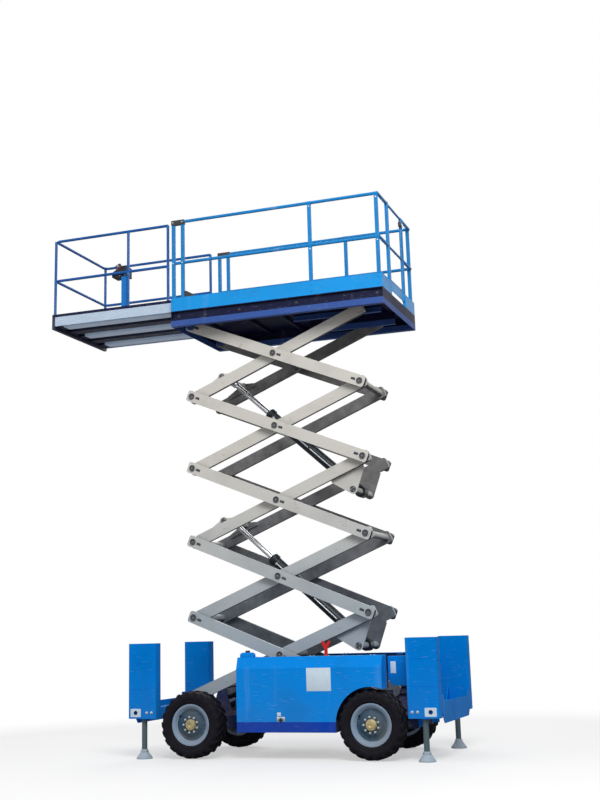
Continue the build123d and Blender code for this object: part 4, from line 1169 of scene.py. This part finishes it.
@dataclass
class Outrigger:
    """Blank plate, bolts, ribs and leg fittings of one outrigger box."""

    end: End
    side: Side
    leg: Pair = (1.585, 0.741)
    face: float = 0.812
    lash: Pair = (1.66, 0.485)
    bolts: Pair = (1.467, 1.525)
    tabs: Pair = (-0.130, 0.130)
    ribs: Pair = (0.74, 1.02)
    rib_ends: Pair = (1.455, 1.715)
    leg_bolts: float = 0.066
    plate: Pair = (0.062, 0.044)
    hole: float = 0.023
    eyelet: Profile = loop(0, 22.2, 0, 19.5, 12, 19.5, 12.8, 21, 12.8, 22.2)
    collar: Profile = loop(0, 32.5, 0, 43, 3, 46, 12.5, 46, 12.5, 32.5)
    foot: Profile = loop(13.2, 60, 11.8, 80, 14, 85, 16.5, 80, 19.5, 60)
    ring: Profile = loop(72, 40, 73, 45.5, 82, 45.5, 84, 40)

    def build(self) -> None:
        """Builds the box's trim and the leg's."""
        ex, sy, out = self.end.value, self.side.value, self.side.out
        x, y = ex * self.leg[0], sy * self.leg[1]
        corner = f"{self.end}_{self.side}"
        box = Maker(f"{corner}_box_trim", Coat.BLUE, Coat.LABEL, Coat.ZINC, Coat.CONSOLE)
        lash = Vector((ex * self.lash[0], sy * self.face, self.lash[1]))
        self._ring_plate(box, lash - out * 0.0005)
        box.lathe(lash - out * 0.010, out, self.eyelet, Coat.CONSOLE, 32)
        box.lathe((x, y, 0.4115), Z_AXIS, self.collar, Coat.BLUE, 40)
        for bolt in self.bolts:
            seat = (ex * bolt, sy * (self.face - 0.0005), self.lash[1])
            box.bolt(seat, out, 0.020, Coat.ZINC)
        for mid in (x + tab for tab in self.tabs):
            low, high = (mid - 0.018, y - 0.040, 1.2235), (mid + 0.018, y + 0.040, 1.2262)
            box.block(low, high, Coat.BLUE, 0.001)
        start, end = (ex * rib_end for rib_end in self.rib_ends)
        inner, outer = sy * (self.face - 0.001), sy * (self.face + 0.002)
        for z in self.ribs:
            box.block((start, inner, z - 0.003), (end, outer, z + 0.003), Coat.BLUE, 0.0015)
        box.done("chassis")
        leg = Maker(f"{corner}_leg_fittings", Coat.ZINC, Coat.PAD)
        leg.lathe((x, y, 0.0), Z_AXIS, self.foot, Coat.PAD, 56)
        leg.lathe((x, y, 0.0), Z_AXIS, self.ring, Coat.ZINC, 40)
        for turn in circle(4, 0.5):
            seat = Vector((math.cos(turn), math.sin(turn), 0)) * self.leg_bolts
            leg.rod(seat + Vector((x, y, 0.022)), Z_AXIS * 0.020, 0.0065, Coat.ZINC, 0.001, 6)
        leg.done(f"{corner}_leg")

    def _ring_plate(self, maker: Maker, centre: Vector) -> None:
        """Adds the blank plate round the lashing hole.

        Args:
            maker: The piece that it joins.
            centre: Middle of the hole.
        """
        before, mesh = set(maker.mesh.faces), maker.mesh
        wide, high = self.plate
        rays = [ray(turn) for turn in circle(32)]
        rims = ([self.hole] * len(rays), [1 / max(abs(r.x) / wide, abs(r.z) / high) for r in rays])
        rings = [[mesh.verts.new(centre + r * far) for r, far in zip(rays, rim)] for rim in rims]
        loops = [mesh.edges.new(pair) for ring in rings for pair in zip(ring, ring[1:] + ring[:1])]
        faces = bmesh.ops.bridge_loops(mesh, edges=loops)["faces"]
        grown = bmesh.ops.extrude_face_region(mesh, geom=faces)["geom"]
        bmesh.ops.translate(mesh, vec=self.side.out * 0.0024, verts=verts_of(grown))
        bmesh.ops.recalc_face_normals(mesh, faces=maker.own(before, Coat.LABEL))


@dataclass
class Platform:
    """Deck sheets, bolts, the rails' sleeves and caps, and the gate's latch and hinges."""

    deck: float = 5.0262
    rear: float = -1.329
    front: float = 1.252
    half: float = 0.725
    rail_y: float = 0.702
    rails: Pair = (5.616, 6.126)
    posts: Sizes = (1.225, 1.106, -0.491, -1.290)
    post_bolts: Pair = (5.066, 5.146)
    beam_bolts: Sizes = (-1.255, -0.30, 0.40, 1.165)
    deck_bolts_x: Sizes = (-1.27, -0.86, -0.45)
    deck_bolts_y: Sizes = (-0.44, -0.09, 0.09, 0.44)
    sheets: Profile = loop(-683, -561, -495, -33, 33, 495, 561, 683)
    seams: Profile = loop(-1309, -412, -408, 418, 422, 1248)
    gate_x: float = -1.306
    sleeve: Profile = loop(-26, 19.2, -24, 21.2, 24, 21.2, 26, 19.2)
    hinge: Profile = loop(0, 16.2, 0, 19.5, 3, 20.5, 22, 20.5, 25, 19.5, 25, 16.2)
    gusset: Profile = loop(1085, 5187, 1085, 5262, 1060, 5262, 950, 5200, 950, 5187)
    gate_hinges: Sizes = (5.112, 5.606, 6.080)

    def build(self) -> None:
        """Builds the platform's trim."""
        self._deck()
        self._sides()
        self._rails()
        self._gate()

    def _deck(self) -> None:
        """Lays the chequered deck sheets between the runners."""
        maker = Maker("main_deck_sheets", Coat.TREAD, Coat.ZINC)
        top = self.deck + 0.002
        for low, high in self.sheets:
            for rear, front in self.seams:
                maker.block((rear, low, self.deck - 0.001), (front, high, top), Coat.TREAD, 0.0008)
                maker.tread((rear, low + 0.006, top), (front, high - 0.006, top), Coat.TREAD)
        for x in self.deck_bolts_x:
            for y in self.deck_bolts_y:
                maker.rod((x, y, top), Z_AXIS * 0.0025, 0.007, Coat.ZINC, 0.0015, 12)
        maker.done("platform")

    def _sides(self) -> None:
        """Bolts the toeboards and dresses the side beams."""
        maker = Maker("platform_side_trim", Coat.TOEBOARD, Coat.NAVY, Coat.CONSOLE)
        rear, front = self.rear + 0.004, self.front - 0.004
        for side in Side:
            sign, face = side.value, side.value * (self.half - 0.001)
            for x in self.posts:
                for z in self.post_bolts:
                    seat = (x, sign * (self.half - 0.0005), z)
                    maker.bolt(seat, side.out, 0.016, Coat.TOEBOARD)
            for x in self.beam_bolts:
                maker.bolt((x, sign * 0.6905, 4.962), side.out, 0.024, Coat.CONSOLE)
            for low, stand, high in ((0.1575, 0.0025, 0.1618), (-0.0035, 0.003, 0.003)):
                end = (front, sign * (self.half + stand), self.deck + high)
                maker.block((rear, face, self.deck + low), end, Coat.TOEBOARD, 0.0015)
            for x in (self.rear + 0.003, self.front - 0.011):
                maker.block((x, sign * (self.half - 0.060), 4.846),
                            (x + 0.008, sign * (self.half + 0.002), 4.902), Coat.NAVY, 0.003)
        maker.done("platform")

    def _rails(self) -> None:
        """Adds the double posts' dark caps and gussets, and the rails' sleeves and bolts."""
        maker = Maker("guardrail_fittings", Coat.TOEBOARD, Coat.CONSOLE, Coat.ZINC)
        top = self.rails[1]
        for side in Side:
            sign, out, y = side.value, side.out, side.value * self.rail_y
            maker.block((1.080, y - 0.022, top - 0.038), (1.250, y + 0.022, top + 0.0245),
                        Coat.CONSOLE, 0.006)
            gusset = [(x, y - 0.012, z) for x, z in self.gusset]
            maker.prism(gusset, Y_AXIS * 0.024, Coat.CONSOLE, 0.003)
            for z in self.rails:
                for x in self.posts[2:]:
                    maker.lathe((x, y, z), X_AXIS, self.sleeve, Coat.TOEBOARD, 28)
                    maker.bolt((x, y + sign * 0.0148, z - 0.045), out, 0.012, Coat.ZINC)
                for x in self.posts[:2]:
                    maker.bolt((x, y + sign * 0.0218, z - 0.004), out, 0.012, Coat.ZINC)
        maker.done("platform")

    def _gate(self) -> None:
        """Adds the gate's latch and its hinge collars."""
        maker = Maker("gate_latch", Coat.TOEBOARD, Coat.CONSOLE, Coat.ZINC)
        x = self.gate_x
        maker.block((x - 0.021, -0.290, 6.020), (x + 0.010, -0.232, 6.076), Coat.CONSOLE, 0.003)
        maker.rod((x - 0.021, -0.262, 6.048), X_AXIS * -0.013, 0.011, Coat.ZINC, 0.001, 20)
        maker.block((x - 0.042, -0.268, 5.985), (x - 0.033, -0.256, 6.054), Coat.ZINC, 0.003)
        for z in self.gate_hinges:
            maker.lathe((x, 0.292, z), Z_AXIS, self.hinge, Coat.TOEBOARD, 28)
        maker.done("gate")


@dataclass
class Extension:
    """Trim of the sliding deck, its rails and the control console."""

    rear: float = 0.270
    front: float = 2.890
    half: float = 0.665
    low: float = 5.0345
    high: float = 5.1845
    sheet: Pair = (5.079, 5.0825)
    sheets: Profile = loop(-620, -212, -208, 208, 212, 620)
    rails: Pair = (5.616, 6.126)
    rail_y: float = 0.639
    posts: Sizes = (2.864, 1.862, 1.330)
    plank_bolts: Sizes = (1.42, 1.86, 2.30, 2.74)
    console_bolts: Sizes = (1.915, 1.985, 2.085)
    switches: Sizes = (-0.050, -0.025, 0.0, 0.025, 0.050)
    foot: Profile = loop(0, 17.2, 0, 24.5, 4, 24.5, 12, 19.5, 14, 17.2)
    collar: Profile = loop(0, 17.1, 2, 19.5, 10, 19.5, 12, 17.1)
    panel: Point = (1.967, 0.540, 5.7045)
    tilt: float = math.atan2(0.070, 0.130)
    boot: Profile = loop(
        0, 0.5, 0, 26, 5, 26, 8, 21, 11, 23, 14, 18, 17, 20, 20, 14, 24, 15, 28, 9, 28, 0.5)
    stick: Profile = loop(20, 0.5, 20, 7, 60, 9, 66, 16, 85, 19, 98, 16, 104, 9, 105, 0.5)
    stop_base: Profile = loop(0, 0.5, 0, 24, 6, 24, 8, 20, 8, 0.5)
    stop: Profile = loop(6, 0.5, 6, 12, 14, 12, 16, 19, 22, 20, 28, 17, 30, 0.5)

    def build(self) -> None:
        """Builds the extension's trim and the console's controls."""
        self._sides()
        self._rails()
        self._console()

    def _sides(self) -> None:
        """Adds the top strips, near-black as painted shade, the plank bolts and tread sheets."""
        maker = Maker("sliding_deck_trim", Coat.STRIP, Coat.ZINC, Coat.TREAD, Coat.DECK)
        for side in Side:
            sign = side.value
            # The top strip's near-black is painted shade.
            for low, high, stand, coat in (
                    (self.high - 0.034, self.high - 0.0005, 0.0028, Coat.STRIP),
                    (self.low + 0.001, self.low + 0.010, 0.002, Coat.DECK)):
                maker.block((self.rear + 0.002, sign * (self.half - 0.0005), low),
                            (self.front - 0.001, sign * (self.half + stand), high), coat, 0.001)
            for x in self.plank_bolts:
                seat = (x, sign * (self.half - 0.001), 5.100)
                maker.rod(seat, side.out * 0.004, 0.008, Coat.ZINC, 0.0015, 14)
        foot, top = self.sheet
        for low, high in self.sheets:
            maker.block((self.rear + 0.010, low, foot), (self.front - 0.045, high, top),
                        Coat.TREAD, 0.001)
            maker.tread((self.rear + 0.014, low + 0.006, top),
                        (self.front - 0.050, high - 0.006, top), Coat.TREAD)
        maker.done("extension")

    def _rails(self) -> None:
        """Adds collars where the rails meet their posts."""
        maker = Maker("sliding_rail_fittings", Coat.TOEBOARD)
        for y in (self.rail_y, -self.rail_y):
            for x in self.posts:
                maker.lathe((x, y, 5.083), Z_AXIS, self.foot, Coat.TOEBOARD, 28)
                for z in self.rails:
                    maker.lathe((x, y, z - 0.030), Z_AXIS, self.collar, Coat.TOEBOARD, 24)
        maker.done("extension")

    def _console(self) -> None:
        """Adds the console's panel, joystick, stop button, switches and guard."""
        maker = Maker("console_controls",
                      Coat.CONSOLE, Coat.KNOB, Coat.YELLOW, Coat.ZINC, Coat.PAD, Coat.GREY)
        slope, up = ray(-self.tilt), ray(math.pi / 2 - self.tilt)

        def on_panel(along: float, across: float, high: float = 0.002) -> Vector:
            """Gives a point over the sloped panel."""
            return Vector(self.panel) + slope * along + Y_AXIS * across + up * high

        corners = rectangle(on_panel(0.070, 0.0, 0.0), slope * 0.066, Y_AXIS * 0.072)
        maker.prism(corners, up * 0.003, Coat.GREY, 0.001)
        for across, profile, coat, steps in (
                (-0.035, self.boot, Coat.PAD, 36), (-0.035, self.stick, Coat.CONSOLE, 32),
                (0.040, self.stop_base, Coat.YELLOW, 36), (0.040, self.stop, Coat.KNOB, 36)):
            maker.lathe(on_panel(0.045, across), up, profile, coat, steps)
        for across in self.switches:
            seat = on_panel(0.105, across)
            maker.rod(seat, up * 0.004, 0.008, Coat.ZINC, 0.001, 6)
            lever = up * 0.015 + slope * 0.006
            maker.rod(seat + up * 0.003, lever, 0.0026, Coat.ZINC, 0.001, 12, 0.0036)
        for across in (-0.082, 0.082):
            guard = [on_panel(along, across, high) for along, high in (
                (0.010, -0.020), (0.010, 0.040), (0.075, 0.040), (0.075, -0.020))]
            maker.tube(guard, 0.006, Coat.CONSOLE, 12)
        for x in self.console_bolts:
            for y, out in ((0.462, -0.003), (0.618, 0.003)):
                maker.rod((x, y, 5.590), Y_AXIS * out, 0.005, Coat.ZINC, 0.001, 12)
        maker.done("extension")


def dress_frame() -> None:
    """Gives every CAD node its finish."""
    for name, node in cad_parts.items():
        coat = NODE_COATS.get(name)
        if coat is None:
            old = node.material_slots[0].material.name if node.material_slots else ""
            coat = next((c for slot, c in SLOT_COATS.items() if old.startswith(slot)), Coat.FRAME)
        for place in node.material_slots:
            place.material = coat.material
        LOG.info("%s dressed as %s", name, coat.name)


def main() -> None:
    """Builds the scene."""
    logging.basicConfig(level=logging.INFO, format="%(name)s: %(message)s")
    dress_frame()
    corners = [(end, side) for end in End for side in Side]
    parts: list[Any] = [Wheel(*corner) for corner in corners]
    parts += [Outrigger(*corner) for corner in corners]
    parts += [kind(side) for kind in (SideCover, RearFender) for side in Side]
    parts += [
        ScissorStack(),
        LiftCylinder("lower", (-0.784, 0.0, 1.149), (0.779, 0.0, 2.572)),
        LiftCylinder("upper", (-0.784, 0.0, 2.843), (0.779, 0.0, 4.265)),
        Platform(), Extension(), Studio(),
    ]
    for part in parts:
        part.build()
        LOG.info("%s built", type(part).__name__)


if __name__ == "__main__":
    main()
